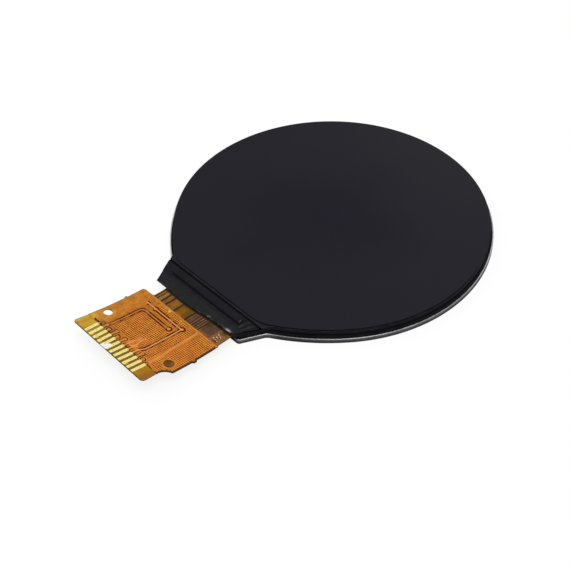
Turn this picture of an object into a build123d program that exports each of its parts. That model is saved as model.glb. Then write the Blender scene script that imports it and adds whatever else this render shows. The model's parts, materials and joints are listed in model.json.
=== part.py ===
from build123d import *
import math
import os

# Round display module. The origin is the disc's centre on the case's back face, +Z points out of
# the screen and the chin with its flex tail points along -Y. All sizes are millimetres.

# Pressed steel case: a round dish with a chin whose two sides lean in
CASE_RADIUS = 17.8
CASE_SHEET = 0.15
CASE_BEND = 0.05
CASE_HEIGHT = 0.56
CHIN_LENGTH = 1.7
CHIN_HALF_WIDTH = 6.3
CHIN_LEAN = 25
CHIN_ROOT_SHARE = 0.8
CHIN_BLEND = 1.2
CHIN_CORNER = 0.4
SWELL_RATIO = 1.35
SWELL_ANGLE = 37.4

# Moulded frame inside the case
FRAME_CLEARANCE = 0.05
PANEL_CLEARANCE = 0.15
POCKET_CLEARANCE = 0.08

# Backlight stack, from the case's floor upwards
REFLECTOR_THICKNESS = 0.06
GUIDE_THICKNESS = 0.38
DIFFUSER_THICKNESS = 0.05
PRISM_THICKNESS = 0.065
FRAME_RING_WIDTH = 1.05
GUIDE_CLEARANCE = 0.1
GUIDE_NECK_HALF_WIDTH = 6.0
GUIDE_NECK_LENGTH = 0.55
GUIDE_NECK_CORNER = 0.2
EAR_WIDTH = 1.4
EAR_LENGTH = 0.45

# Side-view lamps and the small flex that carries them
LED_WIDTH = 3.0
LED_DEPTH = 0.8
LED_PITCH = 3.6
LED_GAP = 0.05
LED_CUP_WIDTH = 2.3
LED_CUP_DEPTH = 0.3
LED_CUP_TAPER = 15
LED_WALL = 0.07
STRIP_THICKNESS = 0.08
STRIP_HALF_LENGTH = 5.5
STRIP_OVERLAP = 0.25
STRIP_WIDTH = 1.7
STRIP_TAIL_WIDTH = 1.0
STRIP_TAIL_X = 4.9
STRIP_TAIL_BEND = 0.5
STRIP_TAIL_RAMP = 1.1

# Panel: two sheets of glass between polarisers, held on the frame by a ring of tape
PANEL_INSET = 0.35
PANEL_BORDER = 1.25
TAPE_THICKNESS = 0.05
TAPE_INSET = 0.1
POLARISER_THICKNESS = 0.12
GLASS_THICKNESS = 0.25
LEDGE_OVERHANG = 0.44
LEDGE_DEPTH = 2.74
LEDGE_SIDE_INSET = 0.3
LEDGE_CORNER = 0.25
REAR_POLARISER_INSET = 0.35
FRONT_POLARISER_SETBACK = 0.35
FRONT_POLARISER_INSET = 0.04
FRONT_POLARISER_CORNER = 4.0

# Driver chip on the ledge, the sealant round it and the black tape over them
CHIP_LENGTH = 10.6
CHIP_WIDTH = 0.83
CHIP_SETBACK = 0.35
SEALANT_SIDE_INSET = 0.25
SEALANT_MARGIN = 0.3
SEALANT_DROP = 0.04
COVER_THICKNESS = 0.05
COVER_GAP = 0.06
COVER_RAMP = 0.4
COVER_BUMP_MARGIN = 0.06
COVER_BUMP_EDGE = 0.02
COVER_LEFT_CORNER = (-5.75, 0.36)
COVER_FRONT = ((-3.5, 0.33), (-1.0, 0.33), (0.6, 0.27), (2.0, 0.1), (3.4, -0.01), (4.6, -0.06))
COVER_RIGHT_CORNER = ((5.4, -0.08), (5.95, -0.45))

# Air left between parts that only rest on each other
SEAT_GAP = 0.01

# Flex tail, seen square-on; reach is counted from the ledge's end
FILM_THICKNESS = 0.03
COPPER_THICKNESS = 0.02
BOND_LENGTH = 1.1
BEND_RADIUS = 44.0
BEND_SKEW = 8.5
BEND_OVERRUN = 2.5
FLAT_RUN = 4.4
NECK_LEFT_MARGIN = 1.82
NECK_RIGHT_MARGIN = 0.1
NECK_REACH = 2.03
WIDE_LEFT = -5.87
WIDE_RIGHT = 6.12
TAIL_REACH = 11.3
NOTCH_DEPTH = 0.84
NOTCH_RADIUS = 1.4
NOTCH_REACH = 9.35
TIP_CORNER = 0.4
REAR_CORNER = 0.3
HOLE_RADIUS = 0.6
HOLE_SPACING = 9.9
HOLE_REACH = 7.5
HOLE_SHIFT = -0.2
TAB_WIDTH = 0.4
TAB_STUB = 0.18
TAB_LEFT_REACH = 4.45
TAB_RIGHT_REACH = 5.15

# Contact fingers
CONTACT_COUNT = 12
CONTACT_PITCH = 0.7
CONTACT_WIDTH = 0.42
CONTACT_LENGTH = 1.85
CONTACT_EDGE = 0.04
CONTACT_CENTRE_X = -0.29
LEAD_IN_WIDTH = 0.24
LEAD_IN_LENGTH = 0.42
VIA_CONTACTS = (1, 3, 5, 9, 10)

# Copper on the tail's two faces
COPPER_MARGIN = 0.14
COPPER_GAP = 0.11
TRACE_WIDTH = 0.24
TRACE_BEND = 0.5
VIA_PAD_RADIUS = 0.2
VIA_HOLE_RADIUS = 0.06
PLANE_CONTACT_GAP = 0.95
TRACE_OVERRUN = 0.32
BACK_COVERLAY_START = 0.33
INNER_TRACE_X = -3.42
INNER_TRACE_REACH = 4.0
INNER_PAD_X = 0.92
OUTER_TRACE_X = 1.62
OUTER_TRACE_REACH = 3.08
OUTER_START_X = -4.2
NECK_GAPS = (-4.0, -3.69, -3.06, -2.37, -1.06, 0.72, 1.08, 1.52, 1.91, 2.27, 2.51, 2.75)
NECK_GAP_WIDTH = 0.09
NECK_LEAD_RUN = 0.7

# Ceramic capacitors on the tail's back face
CAPACITOR_LENGTH = 1.0
CAPACITOR_WIDTH = 0.5
CAPACITOR_CAP = 0.22
CAPACITOR_CAP_STEP = 0.03
CAPACITOR_COUNT = 4
CAPACITOR_PITCH = 1.8
CAPACITOR_REACH = 5.4
CAPACITOR_PAD = 0.42
CAPACITOR_WINDOW_MARGIN = 0.1
SOLDER_FILLET = 0.16
SOLDER_HALF_WIDTH = 0.2

# Solder joints that pass through the neck to the backlight's tail
JOINT_COUNT = 3
JOINT_PITCH = 0.42
JOINT_REACH = 0.75
JOINT_LENGTH = 0.7
JOINT_WIDTH = 0.28
JOINT_STEM_INSET = 0.06
JOINT_HEIGHT = 0.05
JOINT_TAPER = 30

# Levels that follow from the stack
GUIDE_BOTTOM = CASE_SHEET + REFLECTOR_THICKNESS
GUIDE_TOP = GUIDE_BOTTOM + GUIDE_THICKNESS
DIFFUSER_TOP = GUIDE_TOP + DIFFUSER_THICKNESS
LOWER_PRISM_TOP = DIFFUSER_TOP + PRISM_THICKNESS
STACK_TOP = LOWER_PRISM_TOP + PRISM_THICKNESS
TAPE_TOP = STACK_TOP + TAPE_THICKNESS
REAR_GLASS_BOTTOM = TAPE_TOP + POLARISER_THICKNESS
LEDGE_TOP = REAR_GLASS_BOTTOM + GLASS_THICKNESS
FRONT_GLASS_TOP = LEDGE_TOP + GLASS_THICKNESS
SCREEN_TOP = FRONT_GLASS_TOP + POLARISER_THICKNESS
SEALANT_TOP = FRONT_GLASS_TOP - SEALANT_DROP

# Places that follow from the outline
CASE_END = CASE_RADIUS + CHIN_LENGTH
PANEL_RADIUS = CASE_RADIUS - PANEL_INSET
ACTIVE_RADIUS = PANEL_RADIUS - PANEL_BORDER
LEDGE_END = CASE_END + LEDGE_OVERHANG
LEDGE_HALF_WIDTH = CHIN_HALF_WIDTH - LEDGE_SIDE_INSET
FRONT_GLASS_CHORD = LEDGE_END - LEDGE_DEPTH
FRONT_POLARISER_CHORD = FRONT_GLASS_CHORD - FRONT_POLARISER_SETBACK
FRAME_OUTSET = CASE_SHEET + FRAME_CLEARANCE
FRAME_INNER_RADIUS = CASE_RADIUS - FRAME_OUTSET - FRAME_RING_WIDTH
GUIDE_RADIUS = FRAME_INNER_RADIUS - GUIDE_CLEARANCE
GUIDE_EDGE = GUIDE_RADIUS + GUIDE_NECK_LENGTH
LED_FRONT = GUIDE_EDGE + LED_GAP
CHIP_FRONT = FRONT_GLASS_CHORD + CHIP_SETBACK
CHIP_BACK = CHIP_FRONT + CHIP_WIDTH
SEALANT_END = CHIP_BACK + SEALANT_MARGIN
STRIP_START = GUIDE_EDGE - STRIP_OVERLAP
STRIP_END = STRIP_START + STRIP_WIDTH

# Levels of the tail's layers where it is bonded to the ledge
BASE_BOTTOM = LEDGE_TOP + COPPER_THICKNESS
BASE_TOP = BASE_BOTTOM + FILM_THICKNESS
FRONT_COPPER_TOP = BASE_TOP + COPPER_THICKNESS
TAIL_TOP = FRONT_COPPER_TOP + FILM_THICKNESS
TAIL_BOTTOM = LEDGE_TOP - FILM_THICKNESS

# Places on the tail that follow from its outline
NECK_LEFT = NECK_LEFT_MARGIN - LEDGE_HALF_WIDTH
NECK_RIGHT = LEDGE_HALF_WIDTH - NECK_RIGHT_MARGIN
CONTACT_START = TAIL_REACH - CONTACT_EDGE - CONTACT_LENGTH
PLANE_END = CONTACT_START - PLANE_CONTACT_GAP
BEND_START = -NECK_LEFT * math.sin(math.radians(BEND_SKEW))

# A solid deeper than the tail stands high, used to cut layers out of the bent slab
TAIL_CLEAR_HEIGHT = 8.0
EVERYWHERE = 60.0


def at_reach(x, reach):
    """Point on the tail, seen square-on, at a distance beyond the ledge's end."""
    return (x, -(LEDGE_END + reach))


def slab(outline, low, high):
    """Flat plate with this outline between two heights."""
    return Pos(0, 0, low) * extrude(outline, high - low)


def rounded(outline, x, y, radius):
    """Outline with its corner nearest to x, y rounded."""
    corner = outline.vertices().sort_by_distance((x, y, 0))[0]
    return fillet(corner, radius)


def swell_centre(radius):
    """Centre of the slacker arc that the disc's lower right quarter runs into."""
    slack = (SWELL_RATIO - 1) * radius
    angle = math.radians(SWELL_ANGLE)
    return (-slack * math.cos(angle), slack * math.sin(angle))


def swell_root(radius, half_width, end):
    """Place where the chin's leaning right side meets the slacker arc."""
    lean = math.radians(CHIN_LEAN)
    centre = swell_centre(radius)
    away = (half_width - centre[0], -end - centre[1])
    along = away[0] * math.sin(lean) + away[1] * math.cos(lean)
    beyond = away[0] ** 2 + away[1] ** 2 - (SWELL_RATIO * radius) ** 2
    run = -along - math.sqrt(along**2 - beyond)
    return (half_width + run * math.sin(lean), -end + run * math.cos(lean))


def swell_edges(radius, root):
    """Round part of an outline: the disc, and on each side the slacker arc down to the root."""
    centre = swell_centre(radius)
    swell = SWELL_RATIO * radius
    first = math.radians(-SWELL_ANGLE)
    last = math.atan2(root[1] - centre[1], root[0] - centre[0])
    middle_turn = (first + last) / 2
    middle = (
        centre[0] + swell * math.cos(middle_turn),
        centre[1] + swell * math.sin(middle_turn),
    )
    touch = (radius * math.cos(first), radius * math.sin(first))
    edges = [ThreePointArc(touch, (0, radius), (-touch[0], touch[1]))]
    for side in (1, -1):
        arc = [(side * x, y) for x, y in (root, middle, touch)]
        edges.append(ThreePointArc(*arc))
    return edges


def module_outline(radius, half_width, end, blend, corner):
    """Outline of case and panel: swelling shoulders and a chin whose straight sides lean in."""
    root = swell_root(radius, half_width, end)
    edges = swell_edges(radius, root)
    edges.append(Line((-half_width, -end), (half_width, -end)))
    for side in (1, -1):
        edges.append(Line((side * half_width, -end), (side * root[0], root[1])))
    outline = make_face(edges)
    outline = fillet(outline.vertices().sort_by(Axis.Y)[0:2], corner)
    return fillet(outline.vertices().sort_by(Axis.Y)[4:6], blend)


def chin_outline(radius, half_width, end, blend, corner):
    """Disc with a short neck towards -Y: straight sides that lean in, blended into the disc."""
    lean = math.tan(math.radians(CHIN_LEAN))
    root = CHIN_ROOT_SHARE * radius
    root_half_width = half_width + (end - root) * lean
    chin = Polygon(
        (half_width, -end),
        (root_half_width, -root),
        (-root_half_width, -root),
        (-half_width, -end),
        align=None,
    )
    outline = Circle(radius) + chin
    outline = fillet(outline.vertices().sort_by(Axis.Y)[0:2], corner)
    return fillet(outline.vertices().sort_by(Axis.Y)[4:6], blend)


def above_chord(chord):
    """Half plane on the disc's side of a straight cut at this distance from the centre."""
    return Pos(0, EVERYWHERE / 2 - chord) * Rectangle(EVERYWHERE, EVERYWHERE)


def case_outline():
    """Outside outline of the pressed case."""
    return module_outline(CASE_RADIUS, CHIN_HALF_WIDTH, CASE_END, CHIN_BLEND, CHIN_CORNER)


def frame_outline():
    """Outline that drops into the case's wall with a clearance."""
    return offset(case_outline(), -FRAME_OUTSET)


def guide_outline():
    """Light guide: a disc with a short neck that ends in the flat edge at the lamps."""
    return chin_outline(
        GUIDE_RADIUS, GUIDE_NECK_HALF_WIDTH, GUIDE_EDGE, GUIDE_NECK_CORNER, GUIDE_NECK_CORNER
    )


def film_outline(grow=0.0):
    """Film: a disc with one square ear on each side that stops it turning."""
    reach = GUIDE_RADIUS + EAR_LENGTH
    ears = Rectangle(2 * (reach + grow), EAR_WIDTH + 2 * grow)
    return Circle(GUIDE_RADIUS + grow) + ears


def panel_outline():
    """Rear glass: the disc and the ledge that carries the chip and the tail."""
    return module_outline(PANEL_RADIUS, LEDGE_HALF_WIDTH, LEDGE_END, CHIN_BLEND, LEDGE_CORNER)


def led_places():
    """X of each lamp, from left to right."""
    return [-LED_PITCH, 0.0, LED_PITCH]


def back_frame():
    """Pressed dish: sheet of even thickness, turned up all round with a bend radius."""
    outer = extrude(case_outline(), CASE_HEIGHT)
    outer = fillet(outer.faces().sort_by(Axis.Z)[0].edges(), CASE_BEND + CASE_SHEET)
    inner = slab(offset(case_outline(), -CASE_SHEET), CASE_SHEET, CASE_SHEET + CASE_HEIGHT)
    inner = fillet(inner.faces().sort_by(Axis.Z)[0].edges(), CASE_BEND)
    return outer - inner


def strip_outline(grow=0.0):
    """Part of the lamps' flex that lies across the chin."""
    strip = Rectangle(2 * (STRIP_HALF_LENGTH + grow), STRIP_WIDTH + 2 * grow)
    return Pos(0, -(STRIP_START + STRIP_END) / 2) * strip


def mould_frame():
    """Ring with a raised chin, pockets for the lamps and a slot for their tail."""
    body = slab(frame_outline(), CASE_SHEET, STACK_TOP)
    body = chamfer(body.faces().sort_by(Axis.Z)[0].edges(), CASE_BEND)
    raised = frame_outline() - above_chord(FRONT_GLASS_CHORD + PANEL_CLEARANCE)
    body += slab(raised, STACK_TOP, REAR_GLASS_BOTTOM)
    body -= slab(offset(guide_outline(), GUIDE_CLEARANCE), 0, REAR_GLASS_BOTTOM)
    body -= slab(film_outline(POCKET_CLEARANCE), GUIDE_TOP, STACK_TOP)
    pocket = Rectangle(LED_WIDTH + 2 * POCKET_CLEARANCE, LED_DEPTH + 2 * POCKET_CLEARANCE + LED_GAP)
    for x in led_places():
        centre = LED_FRONT + LED_DEPTH / 2
        body -= slab(Pos(x, -centre) * pocket, 0, REAR_GLASS_BOTTOM)
    body -= slab(strip_outline(POCKET_CLEARANCE), GUIDE_TOP, REAR_GLASS_BOTTOM)
    slot_length = LEDGE_END - STRIP_START
    slot = Rectangle(STRIP_TAIL_WIDTH + 2 * POCKET_CLEARANCE, slot_length)
    slot = Pos(STRIP_TAIL_X, -(STRIP_START + slot_length / 2)) * slot
    body -= slab(slot, GUIDE_TOP, REAR_GLASS_BOTTOM)
    return body


def led(x):
    """Side-view lamp: a block with a tapered cup in the face towards the light guide."""
    height = GUIDE_THICKNESS
    block = Pos(x, -(LED_FRONT + LED_DEPTH / 2), GUIDE_BOTTOM + height / 2)
    body = block * Box(LED_WIDTH, LED_DEPTH, height)
    body = chamfer(body.edges().filter_by(Axis.Z).group_by(Axis.Y)[0], LED_WALL)
    centre = (x, -LED_FRONT, GUIDE_BOTTOM + height / 2)
    mouth = Plane(origin=centre, x_dir=(1, 0, 0), z_dir=(0, -1, 0))
    opening = mouth * Rectangle(LED_CUP_WIDTH, height - 2 * LED_WALL)
    cup = extrude(opening, LED_CUP_DEPTH, taper=LED_CUP_TAPER)
    return body - cup


def backlight_flex():
    """Strip over the lamps, with a tail that ramps up to the main tail's underside."""
    strip = slab(strip_outline(), GUIDE_TOP, GUIDE_TOP + STRIP_THICKNESS)
    start = -(STRIP_END - STRIP_WIDTH / 2)
    ramp_foot = -(CASE_END + STRIP_TAIL_BEND / 2)
    ramp_head = ramp_foot - STRIP_TAIL_RAMP
    low = GUIDE_TOP + STRIP_THICKNESS / 2
    high = TAIL_BOTTOM - STRIP_THICKNESS / 2
    end = -(LEDGE_END + JOINT_REACH + (JOINT_COUNT - 1) * JOINT_PITCH + JOINT_WIDTH)
    side = Plane(origin=(STRIP_TAIL_X, 0, 0), x_dir=(0, 1, 0), z_dir=(1, 0, 0))
    path = FilletPolyline(
        (start, low), (ramp_foot, low), (ramp_head, high), (end, high), radius=STRIP_TAIL_BEND
    )
    across = Plane(origin=(STRIP_TAIL_X, start, low), x_dir=(1, 0, 0), z_dir=(0, -1, 0))
    ribbon = sweep(across * Rectangle(STRIP_TAIL_WIDTH, STRIP_THICKNESS), path=side * path)
    return strip + ribbon


def rim_tape():
    """Ring of tape between the frame and the panel."""
    ring = Circle(PANEL_RADIUS - TAPE_INSET) & above_chord(FRONT_GLASS_CHORD)
    return slab(ring - Circle(ACTIVE_RADIUS), STACK_TOP, TAPE_TOP)


def rear_polarizer():
    """Sheet under the rear glass, a little smaller than the glass."""
    sheet = Circle(PANEL_RADIUS - REAR_POLARISER_INSET) & above_chord(FRONT_GLASS_CHORD)
    return slab(sheet, TAPE_TOP, REAR_GLASS_BOTTOM)


def front_glass():
    """The rear glass's outline, cut off straight where the ledge begins."""
    return slab(panel_outline() & above_chord(FRONT_GLASS_CHORD), LEDGE_TOP, FRONT_GLASS_TOP)


def front_polarizer():
    """Sheet with the panel's round outline, and a straight edge at the ledge that runs into it."""
    radius = PANEL_RADIUS - FRONT_POLARISER_INSET
    centre = swell_centre(radius)
    drop = -FRONT_POLARISER_CHORD - centre[1]
    half_chord = centre[0] + math.sqrt((SWELL_RATIO * radius) ** 2 - drop**2)
    root = (half_chord, -FRONT_POLARISER_CHORD)
    edges = swell_edges(radius, root)
    sheet = make_face([*edges, Line((-root[0], root[1]), root)])
    corners = sheet.vertices().sort_by(Axis.Y)[0:2]
    return slab(fillet(corners, FRONT_POLARISER_CORNER), FRONT_GLASS_TOP, SCREEN_TOP)


def chip_outline():
    """Driver chip, seen square-on."""
    return Pos(0, -(CHIP_FRONT + CHIP_BACK) / 2) * Rectangle(CHIP_LENGTH, CHIP_WIDTH)


def ledge_strip(start, end, side_inset):
    """Band of the ledge between two distances from the disc's centre."""
    band = offset(panel_outline(), -side_inset) if side_inset else panel_outline()
    return (band & above_chord(end)) - above_chord(start)


def ledge_sealant():
    """Filling round the chip, a little lower than the chip's top."""
    band = ledge_strip(FRONT_GLASS_CHORD, SEALANT_END, SEALANT_SIDE_INSET)
    return slab(band - chip_outline(), LEDGE_TOP, SEALANT_TOP)


def cover_outline(start):
    """Cover tape, seen square-on: leaning sides, and a front edge that draws back at the right."""
    front = [at_reach(*COVER_LEFT_CORNER)]
    front += [at_reach(*place) for place in COVER_FRONT]
    front += [at_reach(*place) for place in COVER_RIGHT_CORNER]
    lean = math.tan(math.radians(CHIN_LEAN))
    half_start = LEDGE_HALF_WIDTH + (LEDGE_END - start) * lean
    return Polygon(*front, (half_start, -start), (-half_start, -start), align=None)


def ledge_cover_tape():
    """Black tape: raised over the chip, then down a ramp onto the bonded tail."""
    start = FRONT_GLASS_CHORD + COVER_GAP
    ramp = SEALANT_END
    foot = ramp + COVER_RAMP
    end = LEDGE_END + COVER_RAMP
    low = TAIL_TOP + SEAT_GAP
    side = Plane(origin=(0, 0, 0), x_dir=(0, 1, 0), z_dir=(1, 0, 0))
    section = Polygon(
        (-start, SEALANT_TOP),
        (-ramp, SEALANT_TOP),
        (-foot, low),
        (-end, low),
        (-end, low + COVER_THICKNESS),
        (-foot - COVER_THICKNESS / 2, low + COVER_THICKNESS),
        (-ramp - COVER_THICKNESS / 2, SEALANT_TOP + COVER_THICKNESS),
        (-start, SEALANT_TOP + COVER_THICKNESS),
        align=None,
    )
    tape = extrude(side * section, EVERYWHERE / 2, both=True)
    tape &= slab(cover_outline(start), 0, TAIL_CLEAR_HEIGHT)
    bump = offset(chip_outline(), COVER_BUMP_MARGIN)
    bump = slab(bump, SEALANT_TOP, FRONT_GLASS_TOP + COVER_THICKNESS)
    bump = chamfer(bump.faces().sort_by(Axis.Z)[-1].edges(), COVER_BUMP_EDGE)
    return tape + bump - slab(chip_outline(), 0, FRONT_GLASS_TOP)


def bent_slab(low, high):
    """The space of one tail layer: flat on the ledge, then rolled up to a large radius.

    The roll's axis is turned by BEND_SKEW in plan, so the tail's left corner stands higher.
    """
    skew = math.radians(BEND_SKEW)
    turn = (TAIL_REACH + BEND_OVERRUN) / BEND_RADIUS
    centre_height = BASE_TOP + BEND_RADIUS
    run = Plane(
        origin=(0, -LEDGE_END, 0),
        x_dir=(-math.sin(skew), -math.cos(skew), 0),
        z_dir=(-math.cos(skew), math.sin(skew), 0),
    )

    def on_roll(height, angle):
        radius = centre_height - height
        return (BEND_START + radius * math.sin(angle), centre_height - radius * math.cos(angle))

    edges = [
        Line((-FLAT_RUN, low), (BEND_START, low)),
        ThreePointArc((BEND_START, low), on_roll(low, turn / 2), on_roll(low, turn)),
        Line(on_roll(low, turn), on_roll(high, turn)),
        ThreePointArc(on_roll(high, turn), on_roll(high, turn / 2), (BEND_START, high)),
        Line((BEND_START, high), (-FLAT_RUN, high)),
        Line((-FLAT_RUN, high), (-FLAT_RUN, low)),
    ]
    section = make_face(edges)
    return extrude(run * section, EVERYWHERE / 2, both=True)


def tail_layer(outline, low, high):
    """Piece of one tail layer with this outline."""
    return bent_slab(low, high) & slab(outline, 0, TAIL_CLEAR_HEIGHT)


def tail_plane(x, reach, height):
    """Plane on the bent tail at x, reach: its Z is the surface's normal."""
    skew = math.radians(BEND_SKEW)
    across = x * math.cos(skew) + reach * math.sin(skew)
    along = -x * math.sin(skew) + reach * math.cos(skew)
    radius = BASE_TOP + BEND_RADIUS - height
    angle = math.asin(max(0.0, along - BEND_START) / radius)
    lift = radius * (1 - math.cos(angle))
    origin_x = across * math.cos(skew) - along * math.sin(skew)
    origin_y = -(LEDGE_END + across * math.sin(skew) + along * math.cos(skew))
    normal = (
        math.sin(angle) * math.sin(skew),
        math.sin(angle) * math.cos(skew),
        math.cos(angle),
    )
    side = (math.cos(skew), -math.sin(skew), 0)
    return Plane(origin=(origin_x, origin_y, height + lift), x_dir=side, z_dir=normal)


def tail_band(left, right, start, end):
    """Rectangle on the tail between two X and two reaches."""
    centre = at_reach((left + right) / 2, (start + end) / 2)
    return Pos(*centre) * Rectangle(right - left, end - start)


def tail_outline(start, end, inset=0.0):
    """Outline of the tail's films: neck, wide part and notch, and two stubs of broken-off tabs.

    Copper follows the same outline at an inset, without the stubs.
    """
    left = WIDE_LEFT + inset
    right = WIDE_RIGHT - inset
    tip = TAIL_REACH - inset
    notch_left = right - NOTCH_DEPTH
    neck = tail_band(NECK_LEFT + inset, NECK_RIGHT - inset, -BOND_LENGTH, NECK_REACH + REAR_CORNER)
    wide = tail_band(left, right, NECK_REACH + inset, tip)
    notch_radius = NOTCH_RADIUS + inset
    notch_place = at_reach(notch_left + notch_radius, NOTCH_REACH)
    wide -= Pos(*notch_place) * Circle(notch_radius)
    wide -= tail_band(notch_left, WIDE_RIGHT + 1, NOTCH_REACH, TAIL_REACH + 1)
    wide = rounded(wide, *at_reach(left, tip), TIP_CORNER - inset)
    wide = rounded(wide, *at_reach(notch_left, tip), TIP_CORNER - inset)
    wide = rounded(wide, *at_reach(left, NECK_REACH + inset), REAR_CORNER - inset)
    outline = neck + wide
    if not inset:
        stub = RectangleRounded(2 * TAB_STUB, TAB_WIDTH, TAB_STUB / 2)
        outline += Pos(*at_reach(left, TAB_LEFT_REACH)) * stub
        outline += Pos(*at_reach(right, TAB_RIGHT_REACH)) * stub
    return outline & tail_band(WIDE_LEFT - 1, WIDE_RIGHT + 1, start, end)


def hole_places():
    """Centres of the two locating holes."""
    middle = (WIDE_LEFT + WIDE_RIGHT) / 2 + HOLE_SHIFT
    return [at_reach(middle + side * HOLE_SPACING / 2, HOLE_REACH) for side in (-1, 1)]


def locating_holes(grow=0.0):
    """The two locating holes, seen square-on."""
    first, second = hole_places()
    hole = Circle(HOLE_RADIUS + grow)
    return Pos(*first) * hole + Pos(*second) * hole


def joint_slots(grow=0.0):
    """Slots in the neck that the solder joints fill."""
    slots = Sketch()
    for number in range(JOINT_COUNT):
        place = at_reach(STRIP_TAIL_X, JOINT_REACH + number * JOINT_PITCH)
        length = JOINT_LENGTH - 2 * JOINT_STEM_INSET + 2 * grow
        width = JOINT_WIDTH - 2 * JOINT_STEM_INSET + 2 * grow
        slots += Pos(*place) * SlotOverall(length, width)
    return slots


def base_film():
    """Film in the middle of the tail, which reaches from the bond to the tip."""
    outline = tail_outline(-BOND_LENGTH, TAIL_REACH) - locating_holes() - joint_slots()
    return tail_layer(outline, BASE_BOTTOM, BASE_TOP)


def front_coverlay():
    """Film over the front copper, cut back at the contacts."""
    outline = tail_outline(-BOND_LENGTH, CONTACT_START) - locating_holes() - joint_slots()
    return tail_layer(outline, FRONT_COPPER_TOP, TAIL_TOP)


def capacitor_places():
    """X of each capacitor."""
    first = -CAPACITOR_PITCH * (CAPACITOR_COUNT - 1) / 2
    return [first + number * CAPACITOR_PITCH for number in range(CAPACITOR_COUNT)]


def back_coverlay():
    """Film over the back copper, with a window at each capacitor."""
    outline = tail_outline(BACK_COVERLAY_START, TAIL_REACH) - locating_holes() - joint_slots()
    window = Rectangle(
        CAPACITOR_WIDTH + 2 * CAPACITOR_WINDOW_MARGIN,
        CAPACITOR_LENGTH + 2 * (SOLDER_FILLET + CAPACITOR_WINDOW_MARGIN),
    )
    for x in capacitor_places():
        outline -= Pos(*at_reach(x, CAPACITOR_REACH)) * window
    return tail_layer(outline, TAIL_BOTTOM, LEDGE_TOP)


def inner_trace_path():
    """From the contacts up the left side, round a bend and across to its pad."""
    return FilletPolyline(
        at_reach(INNER_TRACE_X, PLANE_END + TRACE_OVERRUN),
        at_reach(INNER_TRACE_X, INNER_TRACE_REACH),
        at_reach(INNER_PAD_X, INNER_TRACE_REACH),
        radius=TRACE_BEND,
    )


def outer_trace_path():
    """From the left along the rear edge, round a tight bend and down to the contacts."""
    return FilletPolyline(
        at_reach(OUTER_START_X, OUTER_TRACE_REACH),
        at_reach(OUTER_TRACE_X, OUTER_TRACE_REACH),
        at_reach(OUTER_TRACE_X, PLANE_END + TRACE_OVERRUN),
        radius=TRACE_BEND / 2,
    )


def via_pad(x, reach, grow=0.0):
    """Round pad, seen square-on; without growth it has the via's hole."""
    pad = Circle(VIA_PAD_RADIUS + grow)
    if not grow:
        pad -= Circle(VIA_HOLE_RADIUS)
    return Pos(*at_reach(x, reach)) * pad


def trace_outline(path, pad_x, pad_reach, grow=0.0):
    """Track of even width along a path, with its pad."""
    hole = Pos(*at_reach(pad_x, pad_reach)) * Circle(VIA_HOLE_RADIUS)
    track = trace(path, TRACE_WIDTH + 2 * grow)
    pad = via_pad(pad_x, pad_reach, grow)
    if grow:
        return track + pad
    return track + pad - hole


def ground_plane():
    """Copper over the wide part, cut open along the two tracks and round the holes."""
    plane = tail_outline(NECK_REACH + COPPER_MARGIN, PLANE_END, COPPER_MARGIN)
    plane -= locating_holes(COPPER_MARGIN)
    plane -= trace_outline(inner_trace_path(), INNER_PAD_X, INNER_TRACE_REACH, COPPER_GAP)
    plane -= trace_outline(outer_trace_path(), OUTER_TRACE_X, OUTER_TRACE_REACH, COPPER_GAP)
    return tail_layer(plane, BASE_TOP, FRONT_COPPER_TOP)


def contact_x(number):
    """X of a contact, counted from 0 on the left."""
    return CONTACT_CENTRE_X + (number - (CONTACT_COUNT - 1) / 2) * CONTACT_PITCH


def contact(number):
    """Contact finger with the lead-in that goes under the coverlay, some with a via pad."""
    x = contact_x(number)
    half = CONTACT_WIDTH / 2
    lead_half = LEAD_IN_WIDTH / 2
    lead_start = CONTACT_START - LEAD_IN_LENGTH
    shape = tail_band(x - half, x + half, CONTACT_START, CONTACT_START + CONTACT_LENGTH)
    shape += tail_band(x - lead_half, x + lead_half, lead_start, CONTACT_START)
    if number in VIA_CONTACTS:
        shape += via_pad(x, lead_start)
        shape -= Pos(*at_reach(x, lead_start)) * Circle(VIA_HOLE_RADIUS)
    return tail_layer(shape, BASE_TOP, FRONT_COPPER_TOP)


def back_leads():
    """Leads of the neck, bonded to the ledge at one end, and the capacitors' pads."""
    leads = []
    end = NECK_REACH + NECK_LEAD_RUN
    for left, right in zip(NECK_GAPS[:-1], NECK_GAPS[1:]):
        half_gap = NECK_GAP_WIDTH / 2
        shape = tail_band(left + half_gap, right - half_gap, -BOND_LENGTH, end)
        leads.append(tail_layer(shape, LEDGE_TOP, BASE_BOTTOM))
    pad = Rectangle(CAPACITOR_WIDTH, CAPACITOR_PAD)
    shift = (CAPACITOR_LENGTH + 2 * SOLDER_FILLET - CAPACITOR_PAD) / 2
    for x in capacitor_places():
        for side in (-1, 1):
            place = Pos(*at_reach(x, CAPACITOR_REACH + side * shift))
            leads.append(tail_layer(place * pad, LEDGE_TOP, BASE_BOTTOM))
    return Compound(leads)


def capacitor(x):
    """Ceramic block with a metal cap on each end, hung under its pads."""
    under = tail_plane(x, CAPACITOR_REACH, LEDGE_TOP)
    drop = SEAT_GAP + CAPACITOR_WIDTH / 2
    core = CAPACITOR_WIDTH - 2 * CAPACITOR_CAP_STEP
    ceramic = Box(core, CAPACITOR_LENGTH - CAPACITOR_CAP, core)
    cap = Box(CAPACITOR_WIDTH, CAPACITOR_CAP, CAPACITOR_WIDTH)
    cap = fillet(cap.edges().filter_by(Axis.Y), 2 * CAPACITOR_CAP_STEP)
    shift = (CAPACITOR_LENGTH - CAPACITOR_CAP) / 2
    body = ceramic + Pos(0, shift, 0) * cap + Pos(0, -shift, 0) * cap
    return under.location * Pos(0, 0, -drop) * body


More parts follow.
